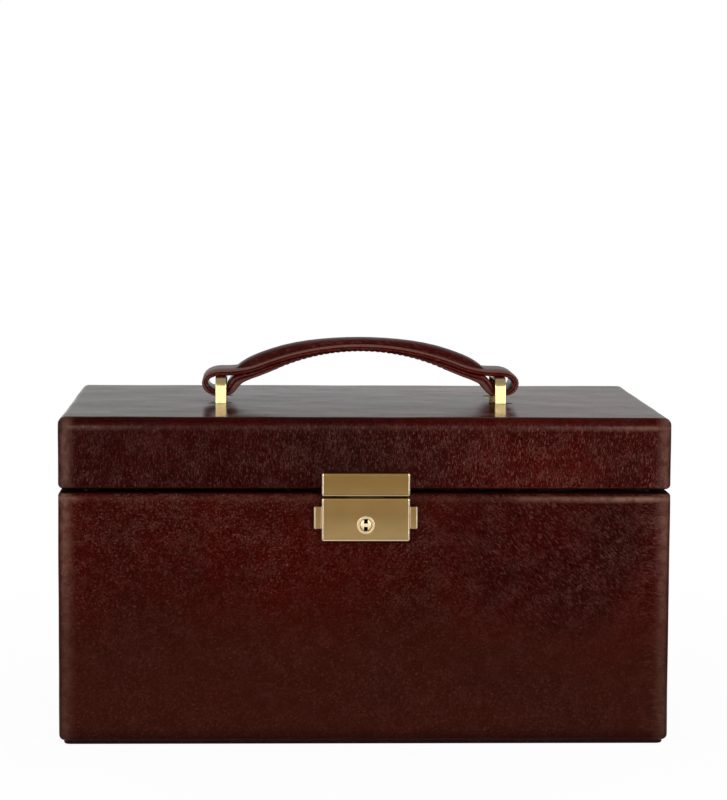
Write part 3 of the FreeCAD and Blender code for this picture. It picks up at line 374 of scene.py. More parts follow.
grainSpec = {"wander": 0.5, "lineWidth": 0.035, "breaks": 110.0, "breakRange": (0.45, 0.6), "patch": 28.0,
             "patchRange": (0.35, 0.62, 0.72, 1.0), "peakRange": (0.53, 0.7), "dipRange": (0.3, 0.48, 1.0, 0.0),
             "lineLight": 0.8, "fineRise": 0.7, "lineRise": 0.3}


def grainGroup(spec):  # pebble and short wrinkles of the grain side, with painted glints on the ridges and wrinkle lines
    tree, given, out = newGroup(
        "grain",
        [("Vector", "Vector"), ("Along", "Vector"), ("Amount", "Float", 1.0)],
        [("Height", "Float"), ("Light", "Float"), ("Dark", "Float")])
    where, along = given["Vector"], given["Along"]
    fine = noise(along, 1.0, 2.0, 0.6, 0.8)
    wander = noise(along, spec["wander"], 3.0, 0.6, 0.9)
    off = sums("ABSOLUTE", minus(wander, 0.5))
    broken = between(noise(where, spec["breaks"], 2.0), *spec["breakRange"])
    line = times(between(off, 0.0, spec["lineWidth"], 1.0, 0.0), broken)
    patch = between(noise(where, spec["patch"], 3.0), *spec["patchRange"])
    share = times(patch, given["Amount"])
    # painted glints where the pebble peaks and along the wrinkle lines
    light = larger(between(fine, *spec["peakRange"]), times(line, spec["lineLight"]))
    dark = between(fine, *spec["dipRange"])
    height = sums("ADD", times(fine, spec["fineRise"]), times(line, spec["lineRise"]))
    for label, amount in (("Light", light), ("Dark", dark), ("Height", height)):
        feed(out[label], times(amount, share))
    return tree


hideTone = hideToneGroup(toneSpec)
grain = grainGroup(grainSpec)


def addGrain(where, along, tilt, amount):
    laid = {"Vector": where, "Along": stretch(where, along, (0, tilt, 0)), "Amount": amount}
    return addNode(where.id_data, "Group", laid, node_tree=grain).outputs


def startHide(name, spec):
    look, shell, where = newLook(name)
    tone = addNode(where.id_data, "Group", {"Cloud": spec["cloud"], "Vector": where}, node_tree=hideTone)
    for label in ("Middle", "Deep", "Red"):
        feed(tone.inputs[label], [part * spec["shade"] for part in tone.inputs[label].default_value[:3]])
    return look, shell, where, tone.outputs


def addUp(layers, label):
    total = layers[0][label]
    for layer in layers[1:]:
        total = sums("ADD", total, layer[label])
    return total


# painted highlight on the leather's corners and edges
highlightColour = (0.17, 0.085, 0.062)
# painted glint colour for the grain's ridges
glintColour = (0.15, 0.053, 0.041)
# dark dyed seam edge, also painted shade of the seam gap
seamColour = (0.007, 0.0016, 0.001)
seamRough = 0.7
grainDepth = 0.2 * mm


def endHide(shell, base, layers, rough, spec, highlight=None, shut=None, fade=None):
    dark = times(addUp(layers, "Dark"), spec["valley"])
    colour = shaded(base, minus(1.0, dark))
    # painted glints on the grain
    light = times(addUp(layers, "Light"), spec["glintShare"])
    colour = blendColour(light, colour, glintColour)
    if fade is not None:  # darker there: painted shade along the body's foot and round the lid's staple slots, darker over the slanted wrinkles and towards the lid's left
        colour = shaded(colour, fade)
    # painted highlight on corners and edges
    if highlight is not None:
        colour = blendColour(highlight, colour, highlightColour)
    if shut is not None:  # dark dyed edge inside the seam, also painted shade of the seam gap
        colour = blendColour(shut, colour, seamColour)
        rough = larger(rough, times(shut, seamRough))
    coat(shell, colour, rough)
    feed(shell.inputs["Specular IOR Level"], spec["shine"])
    bump(shell, addUp(layers, "Height"), spec["relief"], grainDepth)


def cloudRough(tone, rough):
    return between(tone["Cloud"], 0.0, 0.85, rough * 1.06, rough * 0.9)


def hide(name, spec):
    look, shell, where, tone = startHide(name, spec)
    layers = [addGrain(where, spec["along"], 0, spec["amount"])]
    paintedHighlight = None
    if "edgeHighlight" in spec:  # painted highlight on the edges marked on the mesh
        mark = addNode(where.id_data, "Attribute", attribute_name="edge")
        paintedHighlight = times(mark.outputs["Fac"], spec["edgeHighlight"])
    endHide(shell, tone["Color"], layers, cloudRough(tone, spec["rough"]), spec, paintedHighlight)
    return look


# where the painted highlights on the leather's corners and upper edges fall
highlightSpec = {"flank": (0.1305, 0.1372), "depth": (0.0805, 0.0872), "sharp": 1.6,
            "outline": (0.1376, 0.1394, 1.0, 0.25), "height": (0.04, 0.105, 0.4, 1.0), "leftMost": 0.8,
            "bandFrom": (-0.0018, 0.0008), "bandTo": (-0.0008, 0.0006),
            "blotch": 190.0, "blotchRange": (0.36, 0.64, 0.45, 1.05)}


def edgeHighlight(where, spec, marks):  # painted highlights on the rounded corners, and a painted highlight line below the upper edge, longer on the right
    flank, depth = sizeOf(where, "X"), sizeOf(where, "Y")
    x, z = axisOf(where, "X"), axisOf(where, "Z")
    corner = times(between(flank, *marks["flank"]), between(depth, *marks["depth"]))
    corner = sums("POWER", corner, marks["sharp"])
    corner = times(corner, between(flank, *marks["outline"]))
    corner = times(corner, between(z, *marks["height"]))
    low, high = spec["band"]
    start = between(z, *(low + step for step in marks["bandFrom"]))
    stop = between(z, *(high + step for step in marks["bandTo"]), 1.0, 0.0)
    ends = larger(between(x, *spec["bandRight"], 1.0),
                  between(times(x, -1.0), *spec["bandLeft"], marks["leftMost"]))
    band = times(times(start, stop), ends)
    paintedHighlight = between(noise(where, marks["blotch"], 4.0, 0.7), *marks["blotchRange"])
    highlit = larger(times(corner, spec["cornerHighlight"]), times(band, spec["bandHighlight"]))
    return times(highlit, paintedHighlight)


bodyHideSpec = {"cloud": 15.0, "shade": 1.0, "rough": 0.3, "shine": 0.02, "relief": 0.4, "valley": 0.74, "glintShare": 0.5,
                "grain": (1250, 1250, 1250), "slopeGrain": (1400, 1400, 450), "slopeTilt": 42,
                "pullGrain": (1450, 1450, 430), "pullTilt": 83, "level": (0.05, 0.1, 0.42, 1.0),
                "slopeSpot": (0.085, -0.09, 0.1), "slopeReach": 0.065, "slopeFade": 0.74, "edge": (0.122, 0.13),
                "plainLess": 0.75, "lower": (0.0262, 0.0052, 0.0026), "lowerRange": (0.035, 0.085, 0.7, 0.0),
                "footShade": (0.0035, 0.0085, 0.6, 1.0), "seam": (0.1156, 0.1164), "band": (0.1132, 0.1148),
                "bandRight": (0.045, 0.115, 0.1), "bandLeft": (0.124, 0.137, 0.0),
                "cornerHighlight": 0.52, "bandHighlight": 0.9}


def bodyHide(name, spec):  # slanted wrinkles on the upper right, short pulls by the right edge, browner below
    look, shell, where, tone = startHide(name, spec)
    z = axisOf(where, "Z")
    # less grain low on the body, and with it fewer painted glints
    level = between(z, *spec["level"])
    slope = nearSpot(where, spec["slopeSpot"], spec["slopeReach"])
    edge = between(axisOf(where, "X"), *spec["edge"])
    plain = times(level, minus(1.0, times(larger(slope, edge), spec["plainLess"])))
    layers = [addGrain(where, spec["grain"], 0, plain),
              addGrain(where, spec["slopeGrain"], spec["slopeTilt"], slope),
              addGrain(where, spec["pullGrain"], spec["pullTilt"], times(edge, level))]
    base = blendColour(between(z, *spec["lowerRange"]), tone["Color"], spec["lower"])
    # painted shade along the foot, and darker over the slanted wrinkles
    fade = times(between(slope, 0.0, 1.0, 1.0, spec["slopeFade"]), between(z, *spec["footShade"]))
    # painted highlights on the corners and below the rim
    highlit = edgeHighlight(where, spec, highlightSpec)
    # band at the seam: dark dyed edge and painted shade
    shut = between(z, *spec["seam"])
    endHide(shell, base, layers, cloudRough(tone, spec["rough"]), spec, highlit, shut, fade)
    return look


lidHideSpec = {"cloud": 15.0, "shade": 1.0, "rough": 0.3, "shine": 0.03, "relief": 0.4, "valley": 0.85, "glintShare": 0.75,
               "grain": (2050, 2050, 640), "sides": (0.1466, 0.1486, 1.0, 0.3), "flat": (0.1483, 0.1502),
               "streaks": (35, 260, 35), "glaze": (0.35, 0.65, 0.1, 0.15), "fade": (-0.02, 0.075, 0.57, 1.0),
               "seam": (0.1182, 0.119, 1.0, 0.0), "band": (0.146, 0.1472), "bandRight": (0.06, 0.133, 0.2),
               "bandLeft": (0.1, 0.138, 0.2), "cornerHighlight": 0.46, "bandHighlight": 0.62, "slotSpot": (0.067, 0.0202),
               "slotReach": (0.0064, 0.0034), "slotRange": (0.55, 1.0, 1.0, 0.0), "slotShadow": 0.12, "slotRough": 0.75}


def lidHide(name, spec):  # upright wrinkles on the sides, a smooth glazed top
    look, shell, where, tone = startHide(name, spec)
    z = axisOf(where, "Z")
    flat = between(z, *spec["flat"])
    layers = [addGrain(where, spec["grain"], 0, between(z, *spec["sides"]))]
    glaze = between(noise(stretch(where, spec["streaks"]), 1.0, 4.0, 0.65), *spec["glaze"])
    rough = sums("ADD", times(minus(1.0, flat), spec["rough"]), times(flat, glaze))
    ways = []  # painted shadow round the staple slots: darker and rougher
    for axis, middle, reach in zip("XY", spec["slotSpot"], spec["slotReach"]):
        off = sums("DIVIDE", minus(sizeOf(where, axis), middle), reach)
        ways.append(sums("POWER", sums("ABSOLUTE", off), 2.0))
    slot = between(sums("ADD", *ways), *spec["slotRange"])
    fade = between(axisOf(where, "X"), *spec["fade"])
    fade = times(fade, between(slot, 0.0, 1.0, 1.0, spec["slotShadow"]))
    rough = larger(rough, times(slot, spec["slotRough"]))
    # painted highlights on the corners and below the top edge
    highlit = edgeHighlight(where, spec, highlightSpec)
    # band at the seam: dark dyed edge and painted shade
    shut = between(z, *spec["seam"])
    endHide(shell, tone["Color"], layers, rough, spec, highlit, shut, fade)
    return look


brushDepth = 0.04 * mm


def metal(name, colour, rough, fineness, depth):
    look, shell, where = newLook(name)
    lines = noise(stretch(where, (fineness,) * 3), 1.0, 2.0, 0.6)
    stain = between(noise(where, 55.0, 3.0), 0.3, 0.75)
    tone = blendColour(stain, colour, tuple(c * 0.86 for c in colour))
    coat(shell, tone, between(lines, 0.3, 0.7, rough * 0.85, rough * 1.15), 1.0)
    bump(shell, lines, depth, brushDepth)
    return look


plateSpec = {"colour": (0.5, 0.325, 0.135), "upper": (0.305, 0.18, 0.056), "paintedHighlight": (0.97, 0.78, 0.56),
             "ledge": (0.1, 0.06, 0.02), "ledgeShare": 0.5, "rough": 0.3, "lockRange": (0.0965, 0.1125),
             "haspRange": (0.1158, 0.123, 0.75, 1.0), "stainRange": (0.3, 0.75, 1.03, 0.94),
             "lockTop": (0.1136, 0.1142), "lockEnd": 0.1149, "haspTop": (0.125, 0.1256),
             "side": (0.0191, 0.0196), "sideEnd": 0.0204, "earSide": (0.0228, 0.0232),
             "lockFoot": (0.0953, 0.0959, 0.75, 0.0), "haspStart": 0.1151, "haspFoot": (0.1158, 0.1164, 0.35, 0.0)}


def plateBrass(name, spec):  # brushed plates with painted highlights on the side and foot edges, painted shade on the top edges, and darker towards the top as painted shade
    look, shell, where = newLook(name)
    x, z = sizeOf(where, "X"), axisOf(where, "Z")
    fine = noise(where, 2600.0, 2.0)
    # painted shade: each plate darker towards its top
    upper = sums("MINIMUM", between(z, *spec["lockRange"]), between(z, *spec["haspRange"]))
    tone = blendColour(upper, spec["colour"], spec["upper"])
    tone = shaded(tone, between(noise(where, 55.0, 3.0), *spec["stainRange"]))
    # painted shade on the top edges of the lock and the hasp
    ledge = times(between(z, *spec["lockTop"]), sums("LESS_THAN", z, spec["lockEnd"]))
    ledge = larger(ledge, between(z, *spec["haspTop"]))
    tone = blendColour(times(ledge, spec["ledgeShare"]), tone, spec["ledge"])
    # painted highlights on the side edges and the ears, the lock's foot and the hasp's lower lip
    side = times(between(x, *spec["side"]), sums("LESS_THAN", x, spec["sideEnd"]))
    side = larger(side, between(x, *spec["earSide"]))
    foot = between(z, *spec["lockFoot"])
    lip = times(sums("GREATER_THAN", z, spec["haspStart"]), between(z, *spec["haspFoot"]))
    tone = blendColour(larger(side, larger(foot, lip)), tone, spec["paintedHighlight"])
    coat(shell, tone, between(fine, 0.3, 0.7, spec["rough"] * 0.92, spec["rough"] * 1.08), 1.0)
    bump(shell, fine, 0.008, brushDepth)
    return look


plugSpec = {"bright": (1.0, 0.82, 0.55), "dull": (0.92, 0.73, 0.45), "dark": (0.012, 0.008, 0.005),
            "middle": 0.1023, "halfWidth": 0.00088, "bar": 0.00072}


def plugBrass(name, spec):  # bright cheeks, painted shade in the keyway notches
    look, shell, where = newLook(name)
    turned = noise(where, 700.0, 2.0)
    tone = blendColour(between(turned, 0.3, 0.7), spec["bright"], spec["dull"])
    aside = sums("LESS_THAN", sizeOf(where, "X"), spec["halfWidth"])
    away = sums("ABSOLUTE", minus(axisOf(where, "Z"), spec["middle"]))
    # painted shade: the keyway notches dark
    notch = times(aside, sums("GREATER_THAN", away, spec["bar"]))
    tone = blendColour(notch, tone, spec["dark"])
    coat(shell, tone, between(notch, 0.0, 1.0, 0.42, 0.8), 1.0)
    bump(shell, turned, 0.03, brushDepth)
    return look


def napped(name, colour, pale):
    look, shell, where = newLook(name)
    fuzz = noise(where, 1500.0, 2.0, 0.7)
    brushed = noise(stretch(where, (14, 14, 30)), 1.0, 3.0, 0.6, 0.8)
    tone = blendColour(between(brushed, 0.35, 0.65), colour, pale)
    coat(shell, shaded(tone, between(fuzz, 0.2, 0.8, 0.8, 1.15)), 0.95)
    for label, amount in (("Specular IOR Level", 0.15), ("Sheen Weight", 0.35), ("Sheen Roughness", 0.45)):
        feed(shell.inputs[label], amount)
    bump(shell, fuzz, 0.35, 0.2 * mm)
    return look


def sandedBoard(name):
    look, shell, where = newLook(name)
    fibre = noise(stretch(where, (60, 900, 900)), 1.0, 3.0, 0.6)
    coat(shell, blendColour(fibre, (0.34, 0.23, 0.13), (0.22, 0.14, 0.075)), 0.75)
    bump(shell, fibre, 0.2, 0.2 * mm)
    return look


def openFoam(name):
    look, shell, where = newLook(name)
    cells = addNode(where.id_data, "TexVoronoi", {"Vector": where, "Scale": 1400.0}).outputs["Distance"]
    coat(shell, blendColour(cells, (0.72, 0.68, 0.55), (0.55, 0.51, 0.4)), 0.95)
    bump(shell, cells, 0.4, 0.3 * mm)
    return look


def silvered(name):
    look, shell, where = newLook(name)
    haze = between(noise(where, 40.0, 3.0), 0.4, 0.8)
    coat(shell, blendColour(haze, (0.84, 0.86, 0.87), (0.8, 0.83, 0.84)), 0.0, 1.0)
    return look


def waxedThread(name):
    look, shell, where = newLook(name)
    twist = noise(stretch(where, (1800, 500, 500), (0, 35, 0)), 1.0, 2.0)
    coat(shell, blendColour(twist, (0.05, 0.017, 0.01), (0.022, 0.008, 0.006)), 0.5)
    bump(shell, twist, 0.3, 0.1 * mm)
    return look


strapHideSpec = {"cloud": 24.0, "shade": 1.7, "rough": 0.27, "shine": 0.14, "relief": 0.2, "valley": 0.5,
                 "glintShare": 0.5, "along": (500, 1100, 1100), "amount": 0.8, "edgeHighlight": 0.5}
coreHideSpec = {"cloud": 24.0, "shade": 1.1, "rough": 0.27, "shine": 0.08, "relief": 0.2, "valley": 0.4, "glintShare": 0.4,
                "along": (420, 800, 800), "amount": 0.7}
baseHideSpec = {"cloud": 15.0, "shade": 0.3, "rough": 0.4, "shine": 0.05, "relief": 0.3, "valley": 0.4, "glintShare": 0.2,
                "along": (600, 600, 600), "amount": 0.5}
caseHide = bodyHide("caseHide", bodyHideSpec)
topHide = lidHide("topHide", lidHideSpec)
strapHide = hide("strapHide", strapHideSpec)
handleHide = hide("handleHide", coreHideSpec)
baseHide = hide("baseHide", baseHideSpec)
satinBrass = plateBrass("satinBrass", plateSpec)
ringBrass = metal("ringBrass", (0.88, 0.68, 0.4), 0.36, 2600, 0.008)
blackedBrass = metal("blackedBrass", (0.05, 0.035, 0.02), 0.5, 300, 0.06)
polishedBrass = metal("polishedBrass", (0.83, 0.63, 0.31), 0.24, 400, 0.01)
plainBrass = metal("plainBrass", (0.66, 0.49, 0.22), 0.27, 300, 0.06)
zincSteel = metal("zincSteel", (0.5, 0.5, 0.51), 0.32, 500, 0.06)
tanSuede = napped("tanSuede", (0.36, 0.235, 0.14), (0.43, 0.29, 0.18))
board = sandedBoard("board")
foam = openFoam("foam")
mirrorGlass = silvered("mirrorGlass")
keyBrass = plugBrass("keyBrass", plugSpec)
thread = waxedThread("thread")
print("finishes ready")


# leather round a box, turned in to the lining over the open side, which is above or below

def wrapBox(name, low, high, spec, openUp):
    cover = startBox(name, low, high)
    pickEdges(cover, upright)
    roundOff(spec["corner"], 6)
    pickFaces(cover, facesUp)
    roundOff(*spec["upper"])
    pickFaces(cover, facesDown)
    roundOff(*spec["lower"])
    side, rim, level = (1, spec["upper"][0], high.z) if openUp else (-1, spec["lower"][0], low.z)
    pickFaces(cover, lambda c, n: n.z * side > 0.99 and abs(c.x) < 20 * mm)
    pushOut()
    flat = high - Vector((rim,) * 3)
    inner = high - Vector((spec["turnIn"],) * 3)
    bpy.ops.transform.resize(value=(inner.x / flat.x, inner.y / flat.y, 1), center_override=(0, 0, level))
    pushOut(z=-side * spec["skin"])
    bpy.ops.mesh.delete(type="FACE")
    gridLines(cover, low, high, spec["grid"])
    return cover


bodyCoverSpec = {"corner": 4.0 * mm, "upper": (2.0 * mm, 6), "lower": (2.5 * mm, 5), "ease": 0.1 * mm,
                 "drop": 0.7 * mm, "turnIn": 7.5 * mm, "skin": 1.25 * mm, "grid": 5 * mm,
                 "uneven": 0.35 * mm, "reach": 0.035}


def makeBodyCover(spec):
    low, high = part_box("body_leather")
    high.z -= spec["ease"]
    low.z -= spec["drop"]
    cover = wrapBox("bodyCover", low, high, spec, True)
    uneven(cover, spec["reach"], spec["uneven"])
    giveThickness(cover, spec["skin"])
    dress(cover, caseHide, "case", "case_leather", "body_leather")


# the lid's leather lies on foam and has slots for the staples
lidCoverSpec = {"corner": 4.0 * mm, "upper": (3.5 * mm, 7), "lower": (2.2 * mm, 6), "ease": 0.1 * mm,
                "turnIn": 7.5 * mm, "skin": 1.25 * mm, "grid": 5 * mm, "uneven": 0.35 * mm, "reach": 0.03,
                "crown": 0.7 * mm, "slot": (10.8 * mm, 2.8 * mm), "slotDeep": 8 * mm, "slotRound": 0.49,
                "slotSpots": [(x * mm, y * mm) for x in (-67, 67) for y in (-20, 20)]}


def makeLidCover(spec):
    low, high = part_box("lid_leather")
    low.z += spec["ease"]
    cover = wrapBox("lidCover", low, high, spec, False)
    letGo()
    for point in cover.data.vertices:  # the foam swells the top a little
        if point.co.z > high.z - 0.1 * mm:
            point.co.z += spec["crown"] * (1 - (point.co.x / high.x) ** 2) * (1 - (point.co.y / high.y) ** 2)
    uneven(cover, spec["reach"], spec["uneven"])
    giveThickness(cover, spec["skin"])
    for x, y in spec["slotSpots"]:
        half = Vector((*spec["slot"], spec["slotDeep"])) / 2
        middle = Vector((x, y, high.z))
        cutter = startBox("slotCutter", middle - half, middle + half)
        pickEdges(cutter, upright)
        roundOff(spec["slot"][1] * spec["slotRound"], 5)
        letGo()
        useTool(cover, "BOOLEAN", operation="DIFFERENCE", solver="EXACT", object=cutter)
        bpy.data.objects.remove(cutter)
    dress(cover, topHide, "lid", "case_leather", "lid_leather")


# covered base panel that the case stands on
basePadSpec = {"corner": 3.0 * mm, "edge": 0.9 * mm, "inset": 0.2 * mm, "grid": 12 * mm}


def makeBasePad(spec):
    low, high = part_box("base_panel")
    inset = Vector((1, 1, 0)) * spec["inset"]
    low, high = low + inset, high - inset
    pad = startBox("basePad", low, high)
    pickEdges(pad, upright)
    roundOff(spec["corner"], 5)
    pickFaces(pad, facesDown)
    roundOff(spec["edge"], 3)
    gridLines(pad, low, high, spec["grid"], (0, 1))
    dress(pad, baseHide, "case", "case_leather", "base_panel")


# handle: a strap that loops round the staples, a padded core on top, stitching below, all in millimetres
# "back" is the strap's return under the eye: x, z, heading, thickness, width
handleSpec = {"lidTop": 150.8, "top": 28.2, "thick": 2.8, "width": 32.0, "corner": 0.75, "groove": 0.3,
              "levelX": 64.82, "levelZ": 15.9, "crownShare": 0.74, "crownSteps": 12, "hollowSteps": 7,
              "eyeX": 70.1, "eyeZ": 9.8, "eyeReach": 7.8, "eyeThin": 0.3, "eyeHalf": 6,
              "underTop": 25.2, "underArc": 99.1, "flare": ((44.02, 14.92), (54.37, 10.72)),
              "liningX": (49, 44, 36, 28, 20, 12, 6, 0), "liningThin": 0.3, "liningWidth": 0.98,
              "back": [(64.3, 5.05, -180, 2.5, 32), (63.3, 5.75, -202, 3.9, 32), (62.58, 6.55, -224, 4.6, 32),
                       (61.93, 7.26, -238, 4.7, 32), (61.0, 8.65, -238, 4.8, 32), (59.6, 10.3, -230, 4.9, 32),
                       (57.82, 11.56, -218, 4.5, 31.9), (55.19, 12.37, -206, 3.6, 31.7),
                       (52.93, 12.92, -202, 2.85, 31.5)]}


def handleLines(spec):
    rise = spec["top"] - spec["levelZ"]
    swing = 2 * math.atan(rise / spec["levelX"])
    both = spec["levelX"] / math.sin(swing)
    return swing, both * spec["crownShare"], both * (1 - spec["crownShare"])


def strapTop(spec, x):  # height of the strap's upper side
    swing, crown, hollow = handleLines(spec)
    if x < crown * math.sin(swing):
        return spec["top"] - crown + math.sqrt(crown ** 2 - x ** 2)
    away = spec["levelX"] - x
    if away > 0:
        return spec["levelZ"] + hollow - math.sqrt(hollow ** 2 - away ** 2)
    return spec["levelZ"]


def strapSlope(spec, x):
    return math.degrees(math.atan2(strapTop(spec, x + 0.01) - strapTop(spec, x - 0.01), 0.02))


def gripUnder(spec, x):  # height of the grip's lower side, which flares towards the ends
    (x0, z0), (x1, z1) = spec["flare"]
    if x > x0:
        return z0 + (x - x0) * (z1 - z0) / (x1 - x0)
    return spec["underTop"] - spec["underArc"] + math.sqrt(spec["underArc"] ** 2 - x ** 2)


def sweepHalf(piece, stations, start):  # carry the end face from station to station, then mirror it all
    x0, z0, heading0, thick0, width0 = start
    pickFaces(piece, everyFace)
    for x, z, heading, thick, width in stations:
        spot = Vector((x * mm, 0, z * mm))
        pushOut((x - x0) * mm, 0, (z - z0) * mm)
        bpy.ops.transform.rotate(value=math.radians(-heading0), orient_axis="Y", center_override=spot)
        bpy.ops.transform.resize(value=(1, width / width0, thick / thick0), center_override=spot)
        bpy.ops.transform.rotate(value=math.radians(heading), orient_axis="Y", center_override=spot)
        x0, z0, heading0, thick0, width0 = x, z, heading, thick, width
    pickFaces(piece, lambda c, n: abs(c.x) < 0.01 * mm and abs(n.x) > 0.9)  # ends that meet in the middle
    bpy.ops.mesh.delete(type="FACE")
    letGo()
    useTool(piece, "MIRROR", use_clip=True, merge_threshold=0.00002)
    facesOut(piece)


def strapStations(spec):
    thick, width = spec["thick"], spec["width"]
    swing, crown, hollow = handleLines(spec)
    stations = []
    reach = crown - thick / 2
    for i in range(1, spec["crownSteps"] + 1):
        turn = swing * i / spec["crownSteps"]
        z = spec["top"] - crown + reach * math.cos(turn)
        stations.append((reach * math.sin(turn), z, -math.degrees(turn), thick, width))
    reach = hollow + thick / 2
    for i in range(1, spec["hollowSteps"] + 1):
        turn = swing * (1 - i / spec["hollowSteps"])
        x, z = spec["levelX"] - reach * math.sin(turn), spec["levelZ"] + hollow - reach * math.cos(turn)
        stations.append((x, z, -math.degrees(turn), thick, width))
    reach = spec["levelZ"] - spec["eyeZ"] - thick / 2
    half = spec["eyeHalf"]
    for i in range(2 * half + 1):
        turn = math.pi * i / (2 * half)
        wide = spec["eyeReach"] if i < half else reach  # the upper quarter is drawn out
        x = spec["eyeX"] + reach - wide + wide * math.sin(turn)
        slope = math.degrees(math.atan2(reach * math.sin(turn), wide * math.cos(turn)))
        skived = spec["eyeThin"] * max(0, i - half) / half  # thinner where it bears on the staple
        stations.append((x, spec["eyeZ"] + reach * math.cos(turn), -slope, thick - skived, width))
    stations += spec["back"]
    for x in spec["liningX"]:  # lining of the grip, thick at its ends
        slope = strapSlope(spec, x)
        under, over = gripUnder(spec, x), strapTop(spec, x) - thick / math.cos(math.radians(slope))
        heading = -180 if x == 0 else -180 + slope
        deep = max(spec["liningThin"], over - under)
        stations.append((x, (under + over) / 2, heading, deep, spec["liningWidth"] * width))
    return [(x, z + spec["lidTop"], heading, t, w) for x, z, heading, t, w in stations]


def makeHandleStrap(spec):
    thick, width, corner = spec["thick"], spec["width"], spec["corner"] * mm
    middle = spec["lidTop"] + spec["top"] - thick / 2
    strap = startPanel("handleStrap", width * mm, thick * mm, (0, 0, middle * mm))
    pickAll(strap)
    bpy.ops.mesh.bevel(offset=corner, segments=3, affect="VERTICES")
    outer = 0.49 * width * mm
    pickEdges(strap, lambda a, b: abs(a.y) > outer and abs(b.y) > outer and abs(a.z - b.z) > 0.8 * mm)
    bpy.ops.mesh.subdivide(number_cuts=3)
    letGo()
    edge = strap.data.attributes.new("edge", "FLOAT", "POINT")  # upper edges marked for a painted highlight
    for point in strap.data.vertices:
        down = (middle + thick / 2) * mm - point.co.z
        aside = width / 2 * mm - abs(point.co.y)
        if 0.02 * mm < down < 1.01 * corner and aside < 0.98 * corner:
            edge.data[point.index].value = 1.0
    for point in strap.data.vertices:  # burnished line between the two layers
        if abs(point.co.z - middle * mm) < 0.1 * mm:
            point.co.y *= 1 - spec["groove"] / (width / 2)
    sweepHalf(strap, strapStations(spec), (0, middle, 0, thick, width))
    dress(strap, strapHide, "handle", "handle_leather", "handle_strap", angle=45)


coreSpec = {"width": 21.0, "top": 30.6, "arc": 175.8, "shoulderX": 54.2, "endX": 60.2, "endTaper": 0.14, "sunk": 0.3,
            "dome": 1.1, "rim": 0.35, "thin": 0.2,
            "trim": [(0, 0.25), (14, 0.3), (28, 0.45), (36, 0.2), (43, -0.3), (49.5, -1.0), (53, -1.5), (56.5, -2.3),
                     (58, -2.8), (59.2, -3.4), (60.3, -3.9)],
            "places": [6, 12, 18, 24, 30, 36, 41, 45, 48, 50.5, 52.5, 54.2, 55.6, 57, 58, 58.9, 59.6, 60.2]}


def coreRise(spec, strap, x):  # height of the core above the strap
    rise = spec["top"] - spec["arc"] + math.sqrt(spec["arc"] ** 2 - x ** 2) - strapTop(strap, x)
    for (x0, trim0), (x1, trim1) in zip(spec["trim"], spec["trim"][1:]):
        if x0 <= x < x1:
            rise += trim0 + (trim1 - trim0) * (x - x0) / (x1 - x0)
    return max(rise, spec["thin"])


def coreStations(spec, strap):
    stations = []
    for x in spec["places"]:
        thick = coreRise(spec, strap, x) + spec["sunk"]
        width = spec["width"]
        if x > spec["shoulderX"]:
            out = (x - spec["shoulderX"]) / (spec["endX"] - spec["shoulderX"])
            width *= 1 - spec["endTaper"] * out ** 3
        tilt = math.radians(strapSlope(strap, x))
        base = strapTop(strap, x) - spec["sunk"]
        z = strap["lidTop"] + base + math.cos(tilt) * thick / 2
        stations.append((x - math.sin(tilt) * thick / 2, z, math.degrees(tilt), thick, width))
    return stations


def makeHandleCore(spec, strap):
    half = spec["width"] / 2 * mm
    rise = coreRise(spec, strap, 0) + spec["sunk"]
    middle = strap["lidTop"] + strap["top"] - spec["sunk"] + rise / 2
    core = startPanel("handlePad", spec["width"] * mm, rise * mm, (0, 0, middle * mm))
    nearTop = max(p.co.z for p in core.data.vertices) - 0.1 * mm
    pickEdges(core, lambda a, b: a.z > nearTop and b.z > nearTop)
    bpy.ops.mesh.subdivide(number_cuts=13)
    letGo()
    for point in core.data.vertices:  # a rounded cushion, highest along its middle
        if point.co.z > nearTop:
            share = abs(point.co.y) / half
            point.co.z -= (spec["dome"] * share ** 2 + (rise - spec["dome"] - spec["rim"]) * share ** 9) * mm
    sweepHalf(core, coreStations(spec, strap), (0, middle, 0, rise, spec["width"]))
    dress(core, handleHide, "handle", "handle_leather", "handle_core", angle=60)


stitchSpec = {"long": 2.0, "wide": 0.9, "deep": 0.75, "round": 0.33, "pitch": 2.7, "reach": 42.0, "across": 14.6,
              "proud": 0.3, "slant": 7}


def makeStitches(spec, strap):
    pieces = []
    half = Vector((spec["long"], spec["wide"], spec["deep"])) * mm / 2
    first = startBox("stitch", -half, half)
    pickAll(first)
    roundOff(spec["round"] * mm, 2)
    letGo()
    count = int(spec["reach"] / spec["pitch"])
    for side in (-1, 1):
        for i in range(-count, count + 1):
            x = i * spec["pitch"]
            z = strap["lidTop"] + gripUnder(strap, x) - spec["proud"] + spec["deep"] / 2
            slope = -x / math.sqrt(strap["underArc"] ** 2 - x ** 2)
            twin = copyOf(first, "stitch")
            twin.location = (x * mm, side * spec["across"] * mm, z * mm)
            twin.rotation_euler = (0, -math.atan(slope), side * math.radians(spec["slant"]))
            settle(twin)
            pieces.append(twin)
    bpy.data.objects.remove(first)
    stitches = joinAll("handleStitches", pieces)
    dress(stitches, thread, "handle", "handle_leather")


makeBodyCover(bodyCoverSpec)
makeLidCover(lidCoverSpec)
makeBasePad(basePadSpec)
print("leather covers made")
makeHandleStrap(handleSpec)
makeHandleCore(coreSpec, handleSpec)
makeStitches(stitchSpec, handleSpec)
print("handle made")

# suede inside
liningSpec = {"grid": 14 * mm, "skin": 1.0 * mm}


def makeLining(node, name, body, spec):
    low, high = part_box(node)
    lining = startBox(name, low, high)
    pickFaces(lining, lambda c, n: abs(n.z) > 0.9)
    bpy.ops.mesh.delete(type="FACE")
    gridLines(lining, low, high, spec["grid"])
    giveThickness(lining, spec["skin"])
    dress(lining, tanSuede, body, "suede", node)


